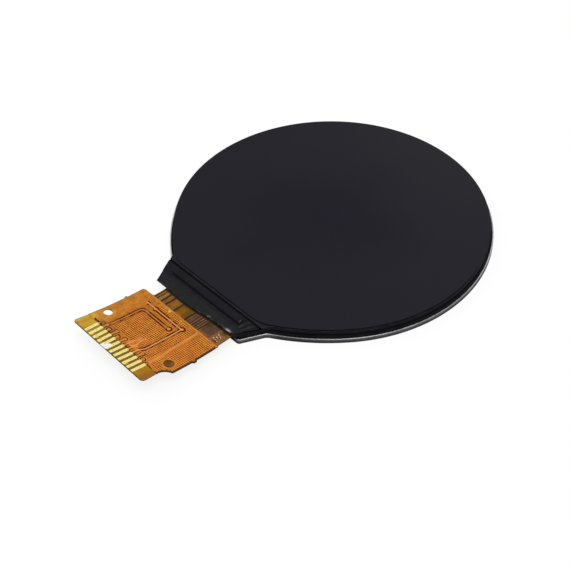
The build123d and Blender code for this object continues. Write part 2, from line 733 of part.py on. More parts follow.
def capacitor_solder():
    """Wedge of solder between each capacitor's end and its pad."""
    wedges = []
    for x in capacitor_places():
        under = tail_plane(x, CAPACITOR_REACH, LEDGE_TOP)
        for side in (-1, 1):
            end = side * CAPACITOR_LENGTH / 2
            low = -SEAT_GAP
            section = Polygon(
                (end, low),
                (end + side * SOLDER_FILLET, low),
                (end, low - 2 * SOLDER_FILLET),
                align=None,
            )
            lengthwise = Plane(origin=(0, 0, 0), x_dir=(0, 1, 0), z_dir=(1, 0, 0))
            wedge = extrude(lengthwise * section, SOLDER_HALF_WIDTH, both=True)
            wedges.append(under.location * wedge)
    return Compound(wedges)


def backlight_solder(number):
    """Solder joint: a stem through the neck and a low rounded head on its front."""
    place = Pos(*at_reach(STRIP_TAIL_X, JOINT_REACH + number * JOINT_PITCH))
    stem = SlotOverall(JOINT_LENGTH - 2 * JOINT_STEM_INSET, JOINT_WIDTH - 2 * JOINT_STEM_INSET)
    head = SlotOverall(JOINT_LENGTH, JOINT_WIDTH)
    body = slab(stem, TAIL_BOTTOM, TAIL_TOP + SEAT_GAP)
    low = TAIL_TOP + SEAT_GAP
    body += Pos(0, 0, low) * extrude(head, JOINT_HEIGHT, taper=JOINT_TAPER)
    return place * body


def pieces():
    """Every piece by name."""
    made = {
        "back_frame": back_frame(),
        "mould_frame": mould_frame(),
        "reflector_film": slab(guide_outline(), CASE_SHEET, GUIDE_BOTTOM),
        "light_guide": slab(guide_outline(), GUIDE_BOTTOM, GUIDE_TOP),
        "diffuser_film": slab(film_outline(), GUIDE_TOP, DIFFUSER_TOP),
        "lower_prism_film": slab(film_outline(), DIFFUSER_TOP, LOWER_PRISM_TOP),
        "upper_prism_film": slab(film_outline(), LOWER_PRISM_TOP, STACK_TOP),
        "backlight_flex": backlight_flex(),
        "rim_tape": rim_tape(),
        "rear_polarizer": rear_polarizer(),
        "rear_glass": slab(panel_outline(), REAR_GLASS_BOTTOM, LEDGE_TOP),
        "front_glass": front_glass(),
        "front_polarizer": front_polarizer(),
        "driver_chip": slab(chip_outline(), LEDGE_TOP, FRONT_GLASS_TOP),
        "ledge_sealant": ledge_sealant(),
        "ledge_cover_tape": ledge_cover_tape(),
        "tail_base_film": base_film(),
        "tail_front_coverlay": front_coverlay(),
        "tail_back_coverlay": back_coverlay(),
        "tail_ground_plane": ground_plane(),
        "tail_back_leads": back_leads(),
        "capacitor_solder": capacitor_solder(),
    }
    inner = trace_outline(inner_trace_path(), INNER_PAD_X, INNER_TRACE_REACH)
    outer = trace_outline(outer_trace_path(), OUTER_TRACE_X, OUTER_TRACE_REACH)
    made["tail_trace_inner"] = tail_layer(inner, BASE_TOP, FRONT_COPPER_TOP)
    made["tail_trace_outer"] = tail_layer(outer, BASE_TOP, FRONT_COPPER_TOP)
    for name, x in zip(("led_left", "led_middle", "led_right"), led_places()):
        made[name] = led(x)
    for number in range(CONTACT_COUNT):
        made[f"contact_{number + 1:02d}"] = contact(number)
    for number, x in enumerate(capacitor_places()):
        made[f"capacitor_{number + 1}"] = capacitor(x)
    for number in range(JOINT_COUNT):
        made[f"backlight_solder_{number + 1}"] = backlight_solder(number)
    return made


def main():
    os.makedirs("parts", exist_ok=True)
    for name, piece in pieces().items():
        export_step(piece, f"parts/{name}.step")


main()
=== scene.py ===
"""Looks of a small round display module: dark screen, pressed steel case, black ledge tape, flex tail.

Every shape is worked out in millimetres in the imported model's frame and put into its mesh in metres.
+Z points out of the screen, the tail runs along -Y, and the case's back lies on the floor at z = 0.
"""

import json
import logging
import math
from dataclasses import dataclass, field
from enum import Enum
from typing import Callable

import bpy
import numpy as np
from mathutils import Matrix, Vector
from mathutils.geometry import delaunay_2d_cdt


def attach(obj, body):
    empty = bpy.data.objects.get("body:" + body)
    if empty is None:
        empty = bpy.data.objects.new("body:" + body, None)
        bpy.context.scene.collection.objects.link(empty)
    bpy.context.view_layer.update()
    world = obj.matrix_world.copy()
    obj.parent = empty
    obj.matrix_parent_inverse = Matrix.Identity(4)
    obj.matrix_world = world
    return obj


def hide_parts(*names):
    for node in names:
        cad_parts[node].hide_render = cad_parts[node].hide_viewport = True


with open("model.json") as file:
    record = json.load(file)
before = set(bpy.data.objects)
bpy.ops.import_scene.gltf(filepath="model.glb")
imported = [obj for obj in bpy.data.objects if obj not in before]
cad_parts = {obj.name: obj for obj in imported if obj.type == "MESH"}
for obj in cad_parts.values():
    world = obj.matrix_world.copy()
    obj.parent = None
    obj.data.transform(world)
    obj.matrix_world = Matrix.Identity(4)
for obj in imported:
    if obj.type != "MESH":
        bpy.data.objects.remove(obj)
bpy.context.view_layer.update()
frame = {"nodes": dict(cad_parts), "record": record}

log = logging.getLogger("display_module")

MM = 0.001
ROOT = "root"
Array = np.ndarray
Socket = bpy.types.NodeSocket
Material = bpy.types.Material
Tone = tuple[int, int, int]
Pair = tuple[float, float]
Triple = tuple[float, float, float]
Path = tuple[Pair, ...]
Field = Callable[[Array, Array], Array]


def linear(tone: Tone) -> tuple[float, float, float, float]:
    """Turns a screen tone of 0 to 255 into the linear colour that a shader takes.

    Args:
        tone: red, green and blue as a screen shows them.

    Returns:
        The linear colour with an alpha of 1.
    """
    share = np.array(tone, float) / 255
    value = np.where(share <= 0.04045, share / 12.92, ((share + 0.055) / 1.055) ** 2.4)
    return (*value.tolist(), 1.0)


def smooth(low: float, high: float, value: Array) -> Array:
    """Soft step: 0 below low, 1 above high, and 3t² - 2t³ between them.

    Args:
        low: where the step starts.
        high: where it ends; it may be below low, which turns the step round.
        value: what is stepped.

    Returns:
        An array of 0 to 1.
    """
    t = np.clip((value - low) / (high - low), 0, 1)
    return t * t * (3 - 2 * t)


def bell(distance: Array, width: float) -> Array:
    """Soft bump exp(-(d / w)²), which is 1 where the distance is 0."""
    return np.exp(-((distance / width) ** 2))


def mixed(first: Array, second: Array, share: Array) -> Array:
    """Colours, one row for each place, moved from the first towards the second by a share."""
    return first + (second - first) * share[:, None]


# Paths


def arc(centre: Pair, radius: float, start: float, end: float, steps: int) -> Array:
    """Points on a circle: centre plus radius times (cos a, sin a), a from start to end.

    Args:
        centre: the circle's centre.
        radius: its radius.
        start: first angle in degrees.
        end: last angle in degrees.
        steps: number of points.

    Returns:
        An array of points, one row each.
    """
    angle = np.radians(np.linspace(start, end, steps))
    return np.stack([centre[0] + radius * np.cos(angle), centre[1] + radius * np.sin(angle)], -1)


def softened(corners: list[Triple], closed: bool = True, steps: int = 9) -> Array:
    """Polygon with each corner replaced by an arc that touches both of its sides.

    For a corner with half angle h between its sides, the arc of radius r touches them at r / tan h
    from the corner, and its centre is at r / sin h along the bisector.

    Args:
        corners: x, y and radius of each corner; a radius of 0 keeps it sharp.
        closed: whether the last corner joins the first.
        steps: points on each arc.

    Returns:
        An array of points, one row each.
    """
    places = np.array([c[:2] for c in corners], float)
    parts = []
    for number, (x, y, radius) in enumerate(corners):
        here = places[number]
        ends = not closed and number in (0, len(corners) - 1)
        if radius == 0 or ends:
            parts.append(here[None])
            continue
        back = places[number - 1] - here
        ahead = places[(number + 1) % len(corners)] - here
        back /= np.linalg.norm(back)
        ahead /= np.linalg.norm(ahead)
        half = math.acos(float(np.clip(back @ ahead, -1, 1))) / 2
        middle = (back + ahead) / np.linalg.norm(back + ahead)
        centre = here + middle * radius / math.sin(half)
        first = here + back * radius / math.tan(half) - centre
        last = here + ahead * radius / math.tan(half) - centre
        turn = math.atan2(first[0] * last[1] - first[1] * last[0], first @ last)
        angle = math.atan2(first[1], first[0]) + np.linspace(0, turn, steps)
        parts.append(centre + radius * np.stack([np.cos(angle), np.sin(angle)], -1))
    return np.concatenate(parts)


def resampled(path: Array, pitch: float) -> Array:
    """Closed path with points added on its long runs, so that none is longer than pitch.

    Args:
        path: points of the closed path.
        pitch: longest run allowed.

    Returns:
        The same path with more points; the old ones are all kept.
    """
    following = np.roll(path, -1, axis=0)
    parts = []
    for here, there in zip(path, following):
        count = max(1, math.ceil(float(np.linalg.norm(there - here)) / pitch))
        parts.append(here + (there - here) * (np.arange(count) / count)[:, None])
    return np.concatenate(parts)


def inset(path: Array, distance: float) -> Array:
    """Closed path moved inwards along its normals; the path runs anticlockwise.

    Args:
        path: points of the closed path.
        distance: how far inwards.

    Returns:
        As many points as before.
    """
    along = np.roll(path, -1, axis=0) - np.roll(path, 1, axis=0)
    along /= np.linalg.norm(along, axis=1)[:, None]
    return path + distance * np.stack([-along[:, 1], along[:, 0]], -1)


def to_path(x: Array, y: Array, path: Array) -> Array:
    """Distance from each place to an open path: the least over its runs of the distance to that run.

    Args:
        x: places' first coordinate.
        y: places' second coordinate.
        path: points of the path.

    Returns:
        The distances, shaped as x.
    """
    least = np.full(np.shape(x), 1e9)
    for start, end in zip(path[:-1], path[1:]):
        run = end - start
        t = np.clip(((x - start[0]) * run[0] + (y - start[1]) * run[1]) / (run @ run), 0, 1)
        least = np.minimum(least, np.hypot(x - start[0] - t * run[0], y - start[1] - t * run[1]))
    return least


def inside(x: Array, y: Array, path: Array) -> Array:
    """Whether each place is within a closed path: a ray to the right crosses it an odd number of times.

    Args:
        x: places' first coordinate, one row.
        y: places' second coordinate, one row.
        path: points of the closed path.

    Returns:
        True or False for each place.
    """
    odd = np.zeros(len(x), bool)
    for (ax, ay), (bx, by) in zip(path, np.roll(path, -1, axis=0)):
        if ay == by:
            continue
        crosses = (ay > y) != (by > y)
        odd ^= crosses & (x < ax + (y - ay) * (bx - ax) / (by - ay))
    return odd


def in_box(
    x: Array, y: Array, left: float, right: float, low: float, high: float, soft: float, strength: float = 1.0
) -> Array:
    """Soft box: its strength well inside, 0 outside, the product of four soft steps.

    Args:
        x: places' first coordinate.
        y: places' second coordinate.
        left: least x.
        right: greatest x.
        low: least y.
        high: greatest y.
        soft: width of the soft edge.
        strength: the value well inside.

    Returns:
        An array of 0 to the strength.
    """
    across = smooth(left - soft, left + soft, x) * smooth(right + soft, right - soft, x)
    return strength * across * smooth(low - soft, low + soft, y) * smooth(high + soft, high - soft, y)


# Meshes


def piece(
    name: str,
    places: Array,
    faces: list,
    materials: list[Material],
    stands_for: list[str],
    slot: str,
    face_material: Array | None = None,
    marks: dict[str, Array] | None = None,
) -> bpy.types.Object:
    """Makes one finished piece of the object and lets it ride on the frame.

    Args:
        name: the piece's name.
        places: vertices in millimetres.
        faces: vertex numbers of each face.
        materials: the piece's materials.
        stands_for: CAD nodes that it replaces.
        slot: the record's material slot; not used.
        face_material: index of each face's material.
        marks: numbers per vertex that a material reads, by name.

    Returns:
        The new object.
    """
    mesh = bpy.data.meshes.new(name)
    mesh.from_pydata((places * MM).tolist(), [], faces)
    for material in materials:
        mesh.materials.append(material)
    if face_material is not None:
        mesh.polygons.foreach_set("material_index", face_material.astype(np.int32))
    mesh.polygons.foreach_set("use_smooth", np.full(len(mesh.polygons), True))
    for key, values in (marks or {}).items():
        kind = "FLOAT_VECTOR" if values.ndim == 2 else "FLOAT"
        layer = mesh.attributes.new(key, kind, "POINT")
        layer.data.foreach_set("vector" if values.ndim == 2 else "value", values.astype(np.float32).ravel())
    mesh.update()
    made = bpy.data.objects.new(name, mesh)
    bpy.context.scene.collection.objects.link(made)
    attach(made, ROOT)
    if stands_for:
        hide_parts(*stands_for)
    log.info("%s: %d faces", name, len(faces))
    return made


def carried(rings: list[Array]) -> tuple[Array, list]:
    """Closed shell: a profile carried round a path, one ring of points for each point of the profile.

    Ring r and ring r + 1 are joined by four-sided faces, and the first and last ring are each closed
    by one flat face. Rings run anticlockwise seen from +Z, and the first faces down.

    Args:
        rings: arrays of as many points each.

    Returns:
        The vertices and the faces.
    """
    count = len(rings[0])
    low = np.arange((len(rings) - 1) * count).reshape(-1, count)
    ahead = np.roll(low, -1, axis=1)
    quads = np.stack([low, ahead, ahead + count, low + count], -1).reshape(-1, 4)
    first = np.arange(count)[::-1]
    last = np.arange(count) + (len(rings) - 1) * count
    return np.concatenate(rings), [*quads.tolist(), first.tolist(), last.tolist()]


def profile_rings(path: Array, profile: list[Pair]) -> list[Array]:
    """Rings of a profile carried round a path: the path at each inset, lifted to each height.

    Args:
        path: closed path, anticlockwise.
        profile: inset and height of each point.

    Returns:
        One ring of points for each point of the profile.
    """
    rings = []
    for distance, height in profile:
        ring = inset(path, distance)
        rings.append(np.column_stack([ring, np.full(len(ring), height)]))
    return rings


def plate_profile(bottom: float, top: float, edge: float) -> list[Pair]:
    """Profile of a plate with rounded edges, and a ring just inside each that keeps its faces flat.

    Each edge is a quarter circle: inset e (1 - sin a), height e (1 - cos a) from the face.

    Args:
        bottom: lower face's height.
        top: upper face's height.
        edge: radius of the rounding.

    Returns:
        Inset and height of each point, from the lower face outwards and up.
    """
    angle = np.linspace(0, math.pi / 2, 4)
    lower = [(edge * (1 - math.sin(a)), bottom + edge * (1 - math.cos(a))) for a in angle]
    upper = [(distance, bottom + top - height) for distance, height in reversed(lower)]
    return [(2 * edge, bottom), *lower, *upper, (2 * edge, top)]


def triangulated(outline: Array, holes: list[Array], pitch: Pair) -> tuple[Array, Array]:
    """Triangles that fill an outline, with a regular lattice of points inside it.

    The lattice's points closer than 0.4 of the pitch to an edge are left out.

    Args:
        outline: closed path, anticlockwise.
        holes: closed paths cut out of it.
        pitch: the lattice's step along each axis.

    Returns:
        The points and the triangles, anticlockwise.
    """
    low = outline.min(0)
    high = outline.max(0)
    steps = [np.arange(math.floor(a / p) * p, b + p, p) for a, b, p in zip(low, high, pitch)]
    x, y = (grid.ravel() for grid in np.meshgrid(*steps))
    kept = inside(x, y, outline)
    for hole in holes:
        kept &= ~inside(x, y, hole)
    x, y = x[kept], y[kept]
    for loop in (outline, *holes):
        far = to_path(x, y, np.concatenate([loop, loop[:1]])) > 0.4 * min(pitch)
        x, y = x[far], y[far]
    edges = []
    count = 0
    for loop in (outline, *holes):
        numbers = np.arange(len(loop)) + count
        edges += np.stack([numbers, np.roll(numbers, -1)], -1).tolist()
        count += len(loop)
    given = np.concatenate([outline, *holes, np.stack([x, y], -1)])
    points, _, triangles, *_ = delaunay_2d_cdt([Vector(p) for p in given.tolist()], edges, [], 0, 1e-6)
    points = np.array([tuple(p) for p in points])
    triangles = np.array(triangles)
    corner = points[triangles]
    twice = np.cross(corner[:, 1] - corner[:, 0], corner[:, 2] - corner[:, 0])
    triangles = np.where((twice < 0)[:, None], triangles[:, ::-1], triangles)
    middle = corner.mean(1)
    kept = inside(middle[:, 0], middle[:, 1], outline) & (np.abs(twice) > 1e-9)
    for hole in holes:
        kept &= ~inside(middle[:, 0], middle[:, 1], hole)
    triangles = triangles[kept]
    used, numbers = np.unique(triangles, return_inverse=True)
    return points[used], numbers.reshape(-1, 3)


def sheet(triangles: Array, top: Array, bottom: Array) -> tuple[Array, list, Array]:
    """Closed sheet: a top and a bottom with the same triangles, and a wall round each free edge.

    A free edge belongs to one triangle only. The wall has points of its own, so its rim stays crisp.

    Args:
        triangles: point numbers, anticlockwise seen from the top.
        top: places of the top's points.
        bottom: places of the bottom's points.

    Returns:
        The vertices, the faces, and 0, 1 or 2 for each face of the top, bottom or wall.
    """
    count = len(top)
    edges = np.concatenate([triangles[:, [0, 1]], triangles[:, [1, 2]], triangles[:, [2, 0]]])
    key = np.sort(edges, axis=1)
    _, first, times = np.unique(key, axis=0, return_index=True, return_counts=True)
    free = edges[first[times == 1]]
    rim = np.concatenate([top[free[:, 0]], top[free[:, 1]], bottom[free[:, 1]], bottom[free[:, 0]]])
    wall = np.arange(len(free))[:, None] + 2 * count + len(free) * np.array([0, 3, 2, 1])
    faces = [*triangles.tolist(), *(triangles[:, ::-1] + count).tolist(), *wall.tolist()]
    kinds = np.repeat([0, 1, 2], [len(triangles), len(triangles), len(free)])
    return np.concatenate([top, bottom, rim]), faces, kinds


# Finishes


class Recipe:
    """Node tree of one finish, with short calls for the nodes that finishes use."""

    def __init__(self, name: str) -> None:
        """Starts a material with its shader and Object coordinates.

        Args:
            name: the material's name.
        """
        self.material = bpy.data.materials.new(name)
        self.material.use_nodes = True
        self.tree = self.material.node_tree
        self.shader = self.tree.nodes["Principled BSDF"]
        self.place = self.add("ShaderNodeTexCoord").outputs["Object"]

    def feed(self, socket: Socket, value: object) -> None:
        """Links a socket into another, or sets its value.

        Args:
            socket: the input that is fed.
            value: an output socket, a number or a tuple.
        """
        if isinstance(value, Socket):
            self.tree.links.new(value, socket)
        else:
            socket.default_value = value

    def add(self, kind: str, inputs: dict | None = None, **settings: object) -> bpy.types.Node:
        """Adds a node.

        Args:
            kind: Blender's name for the node.
            inputs: values or sockets by input name or number.
            settings: the node's own properties.

        Returns:
            The new node.
        """
        node = self.tree.nodes.new(kind)
        for key, value in settings.items():
            setattr(node, key, value)
        for key, value in (inputs or {}).items():
            self.feed(node.inputs[key], value)
        return node

    def shade(self, **values: object) -> None:
        """Feeds the shader's inputs; an underscore in a name stands for a space."""
        for key, value in values.items():
            self.feed(self.shader.inputs[key.replace("_", " ")], value)

    def step(self, operation: str, first: object, second: object = 0.0) -> Socket:
        """One step of arithmetic on one or two numbers."""
        return self.add("ShaderNodeMath", {0: first, 1: second}, operation=operation).outputs[0]

    def times(self, first: object, second: object) -> Socket:
        """Product of two numbers."""
        return self.step("MULTIPLY", first, second)

    def greater(self, first: object, second: object) -> Socket:
        """The greater of two numbers."""
        return self.step("MAXIMUM", first, second)

    def along(self, axis: int, low: float, high: float) -> Socket:
        """Soft step along X, Y or Z, by its number, between two places in millimetres."""
        axes = self.add("ShaderNodeSeparateXYZ", {0: self.place}).outputs
        return self.span(axes[axis], low * MM, high * MM)

    def span(self, value: object, low: float, high: float, first: float = 0.0, last: float = 1.0) -> Socket:
        """Value mapped from low..high to first..last with a soft step, held at both ends."""
        inputs = {"Value": value, "From Min": low, "From Max": high, "To Min": first, "To Max": last}
        return self.add("ShaderNodeMapRange", inputs, interpolation_type="SMOOTHSTEP").outputs[0]

    def even(self, noise: object, first: float = 0.0, last: float = 1.0) -> Socket:
        """Noise, which mostly lies between 0.3 and 0.7, spread over first..last."""
        return self.span(noise, 0.3, 0.7, first, last)

    def blend(self, share: object, first: object, second: object) -> Socket:
        """Mixes two colours.

        Args:
            share: 0 for the first colour to 1 for the second.
            first: screen tone or colour socket.
            second: screen tone or colour socket.

        Returns:
            The mixed colour.
        """
        inputs = {0: share}
        for number, colour in ((6, first), (7, second)):
            inputs[number] = linear(colour) if isinstance(colour, tuple) else colour
        return self.add("ShaderNodeMix", inputs, data_type="RGBA").outputs[2]

    def brighten(self, colour: object, value: object) -> Socket:
        """Colour made brighter or darker by a factor."""
        return self.add("ShaderNodeHueSaturation", {"Value": value, "Color": colour}).outputs[0]

    def mark(self, name: str, output: str = "Fac") -> Socket:
        """Number or vector that the mesh carries under this name."""
        return self.add("ShaderNodeAttribute", attribute_name=name).outputs[output]

    def noise(self, size: float, detail: float = 3.0, stretch: Triple = (1.0, 1.0, 1.0)) -> Socket:
        """Cloudy noise on Object coordinates.

        Args:
            size: size of its clouds in millimetres.
            detail: how many finer layers it has.
            stretch: how much finer it is along each axis.

        Returns:
            A socket of about 0.3 to 0.7.
        """
        place = self.add("ShaderNodeMapping", {"Vector": self.place, "Scale": stretch}).outputs[0]
        inputs = {"Vector": place, "Scale": 1 / (size * MM), "Detail": detail}
        return self.add("ShaderNodeTexNoise", inputs).outputs[0]

    def relief(self, height: object, depth: float, strength: float = 1.0) -> None:
        """Lets a height of 0 to 1 tilt the shading, with its depth in millimetres."""
        inputs = {"Strength": strength, "Distance": depth * MM, "Height": height}
        self.shade(Normal=self.add("ShaderNodeBump", inputs).outputs[0])


@dataclass(frozen=True)
class Finish:
    """Plain finish: two tones in soft clouds, with fine grain in gloss and relief."""

    name: str
    dark: Tone
    light: Tone
    cloud: float = 1.5
    grain: float = 0.08
    rough: Pair = (0.4, 0.55)
    relief: float = 0.004
    metal: float = 0.0
    specular: float = 0.5
    clear: float = 0.0

    def build(self) -> Material:
        """Makes the material.

        Returns:
            The finished material.
        """
        recipe = Recipe(self.name)
        cloud = recipe.even(recipe.noise(self.cloud))
        grain = recipe.noise(self.grain, 4.0)
        recipe.shade(
            Base_Color=recipe.blend(cloud, self.dark, self.light),
            Roughness=recipe.even(grain, *self.rough),
            Metallic=self.metal,
            Specular_IOR_Level=self.specular,
            Transmission_Weight=self.clear,
        )
        recipe.relief(grain, self.relief)
        return recipe.material


@dataclass(frozen=True)
class PressedSteel:
    """Thin stainless sheet: fine rolling lines, cloudy handling marks, a painted highlight along the cut rim
    and a painted contact shadow at the foot.

    The painted light on wall and rim grows brighter from `bright_from` to `bright_to` along X, and again
    towards the chin from `chin_from` to `chin_to`, and the wall is painted darker at the left. The foot's
    painted shadow fades out from `foot_bottom` to `foot_top` up the wall. All are in millimetres.
    """

    name: str = "pressed_steel"
    shadow: Tone = (38, 36, 37)
    sheen: Tone = (94, 92, 93)
    # Tone of the painted contact shadow at the wall's foot.
    foot: Tone = (20, 19, 20)
    back_dark: Tone = (170, 169, 168)
    back_light: Tone = (190, 189, 188)
    # Tones of the painted highlight along the rim, duller at the left and brighter at the right.
    rim_highlight_left: Tone = (166, 163, 167)
    rim_highlight_right: Tone = (250, 247, 251)
    bright_from: float = 8.0
    bright_to: float = 18.0
    chin_from: float = 8.8
    chin_to: float = 7.4
    foot_top: float = 0.14
    foot_bottom: float = 0.06
    left_share: float = 0.5

    def build(self) -> Material:
        """Makes the material.

        Returns:
            The finished material.
        """
        recipe = Recipe(self.name)
        lines = recipe.noise(0.6, 5.0, (0.12, 6.0, 1.0))
        cloud = recipe.noise(1.3, 4.0)
        both = recipe.step("ADD", recipe.times(lines, 0.5), recipe.times(cloud, 0.5))
        tone = recipe.span(both, 0.38, 0.62)
        # Painted light: the wall's tone and the rim's highlight grow brighter towards +X and towards the
        # chin, and the wall is left darker at the left.
        painted_brightening = recipe.along(0, self.bright_from, self.bright_to)
        painted_brightening = recipe.greater(painted_brightening, recipe.along(0, self.chin_from, self.chin_to))
        # Painted contact shadow along the foot of the side wall, fading out upwards.
        low = recipe.times(recipe.along(2, self.foot_top, self.foot_bottom), recipe.mark("side"))
        back = recipe.blend(tone, self.back_dark, self.back_light)
        tone = recipe.times(tone, recipe.span(painted_brightening, 0.0, 1.0, self.left_share, 1.0))
        wall = recipe.blend(low, recipe.blend(tone, self.shadow, self.sheen), self.foot)
        base = recipe.blend(recipe.mark("side"), back, wall)
        # Painted highlight along the rim.
        rim = recipe.blend(painted_brightening, self.rim_highlight_left, self.rim_highlight_right)
        recipe.shade(
            Base_Color=recipe.blend(recipe.mark("rim"), base, rim),
            Metallic=1.0,
            Roughness=recipe.even(cloud, 0.26, 0.44),
        )
        recipe.relief(lines, 0.006, 0.5)
        return recipe.material


@dataclass(frozen=True)
class ScreenFilm:
    """Front polariser: nearly black film with a silky anti-glare face, a painted reflection that is a little
    darker at its middle, and a side wall painted nearly black as shade.
    """

    name: str = "screen_film"
    # Tones of the painted reflection at the middle and towards the edge, then the painted shade on the side
    # wall.
    deep: Tone = (28, 26, 36)
    soft: Tone = (33, 32, 39)
    edge: Tone = (2, 2, 3)
    reach: float = 15.0

    def build(self) -> Material:
        """Makes the material.

        Returns:
            The finished material.
        """
        recipe = Recipe(self.name)
        slow = recipe.noise(9.0, 2.0)
        fine = recipe.noise(0.03, 2.0)
        # Painted reflection: darker at the middle, lighter out towards the edge.
        away = recipe.add("ShaderNodeVectorMath", {0: recipe.place}, operation="LENGTH").outputs["Value"]
        away = recipe.step("DIVIDE", away, self.reach * MM)
        share = recipe.span(recipe.step("ADD", away, slow), 0.5, 1.5)
        base = recipe.blend(share, self.deep, self.soft)
        recipe.shade(
            # The side wall is painted nearly black as shade.
            Base_Color=recipe.blend(recipe.mark("wall"), base, self.edge),
            Roughness=recipe.even(fine, 0.27, 0.34),
            Specular_IOR_Level=0.08,
        )
        recipe.relief(fine, 0.0008)
        return recipe.material


@dataclass(frozen=True)
class MarginGlass:
    """Front glass round the screen: printed nearly black, and painted quite black along its straight cut edge
    as shade of the groove by the tape.
    """

    name: str = "edge_glass"
    dark: Tone = (30, 30, 35)
    light: Tone = (42, 42, 48)
    # Tone of the painted shade along the straight cut edge.
    cut: Tone = (0, 0, 1)
    cut_from: float = -17.09
    cut_to: float = -17.13

    def build(self) -> Material:
        """Makes the material.

        Returns:
            The finished material.
        """
        recipe = Recipe(self.name)
        grain = recipe.noise(0.06, 4.0)
        base = recipe.blend(recipe.even(recipe.noise(0.8)), self.dark, self.light)
        recipe.shade(
            # Painted shade of the groove along the straight cut edge.
            Base_Color=recipe.blend(recipe.along(1, self.cut_from, self.cut_to), base, self.cut),
            Roughness=recipe.even(grain, 0.2, 0.34),
            Specular_IOR_Level=0.08,
        )
        recipe.relief(grain, 0.002)
        return recipe.material


@dataclass(frozen=True)
class LedgeTapeFinish:
    """Black tape: a dull coated face with fibre-fine grain, painted shade in its creases, painted pale
    highlights on its folds and front edge, and painted whitish glints where that edge lifts.
    """

    name: str = "ledge_tape"
    face: Tone = (24, 23, 29)
    worn: Tone = (34, 33, 38)
    scuffed: Tone = (39, 40, 38)
    # Tone of the painted shade in the creases and grooves.
    pressed: Tone = (1, 1, 2)
    # Tone of the painted pale highlights on the folds and along the front edge.
    pale_highlight: Tone = (92, 89, 91)
    # Tone of the painted whitish glints where the front edge lifts.
    lift_glint: Tone = (176, 168, 173)
    rub_from: float = -18.7
    rub_to: float = -19.2

    def build(self) -> Material:
        """Makes the material.

        Returns:
            The finished material.
        """
        recipe = Recipe(self.name)
        cloud = recipe.span(recipe.noise(1.1, 3.0), 0.35, 0.65)
        grain = recipe.noise(0.05, 4.0)
        rubbed = recipe.along(1, self.rub_from, self.rub_to)
        scuff = recipe.times(rubbed, recipe.span(recipe.noise(0.3, 4.0), 0.42, 0.62))
        base = recipe.blend(recipe.times(cloud, 0.5), self.face, self.worn)
        scuff = recipe.greater(recipe.times(rubbed, 0.5), scuff)
        base = recipe.blend(scuff, base, self.scuffed)
        # Painted pale highlights on the folds, and a painted glint by the chip's right end.
        patch = recipe.span(recipe.noise(0.7, 3.0), 0.3, 0.6, 0.2)
        base = recipe.blend(recipe.times(recipe.mark("fold"), patch), base, self.pale_highlight)
        # Painted shade along the creases, beside a wrinkle and in the groove at the back edge.
        base = recipe.blend(recipe.mark("crease"), base, self.pressed)
        # Painted thin highlight along the front edge.
        thread = recipe.span(recipe.noise(0.5, 3.0, (0.6, 3.0, 1.0)), 0.44, 0.62)
        base = recipe.blend(recipe.times(recipe.mark("fray"), thread), base, self.pale_highlight)
        # Painted whitish glints where the front edge lifts, and a larger one at its right end.
        flake = recipe.span(recipe.noise(0.3, 3.0, (0.6, 2.4, 1.0)), 0.48, 0.6)
        lifted = recipe.times(recipe.mark("lift"), recipe.times(flake, 0.55))
        blob = recipe.times(recipe.mark("blob"), recipe.span(recipe.noise(0.3), 0.3, 0.6, 0.45, 0.9))
        lifted = recipe.greater(lifted, blob)
        recipe.shade(
            Base_Color=recipe.blend(lifted, base, self.lift_glint),
            Roughness=recipe.even(grain, 0.42, 0.58),
            Specular_IOR_Level=0.07,
        )
        recipe.relief(recipe.step("ADD", grain, recipe.times(cloud, 0.4)), 0.005)
        return recipe.material


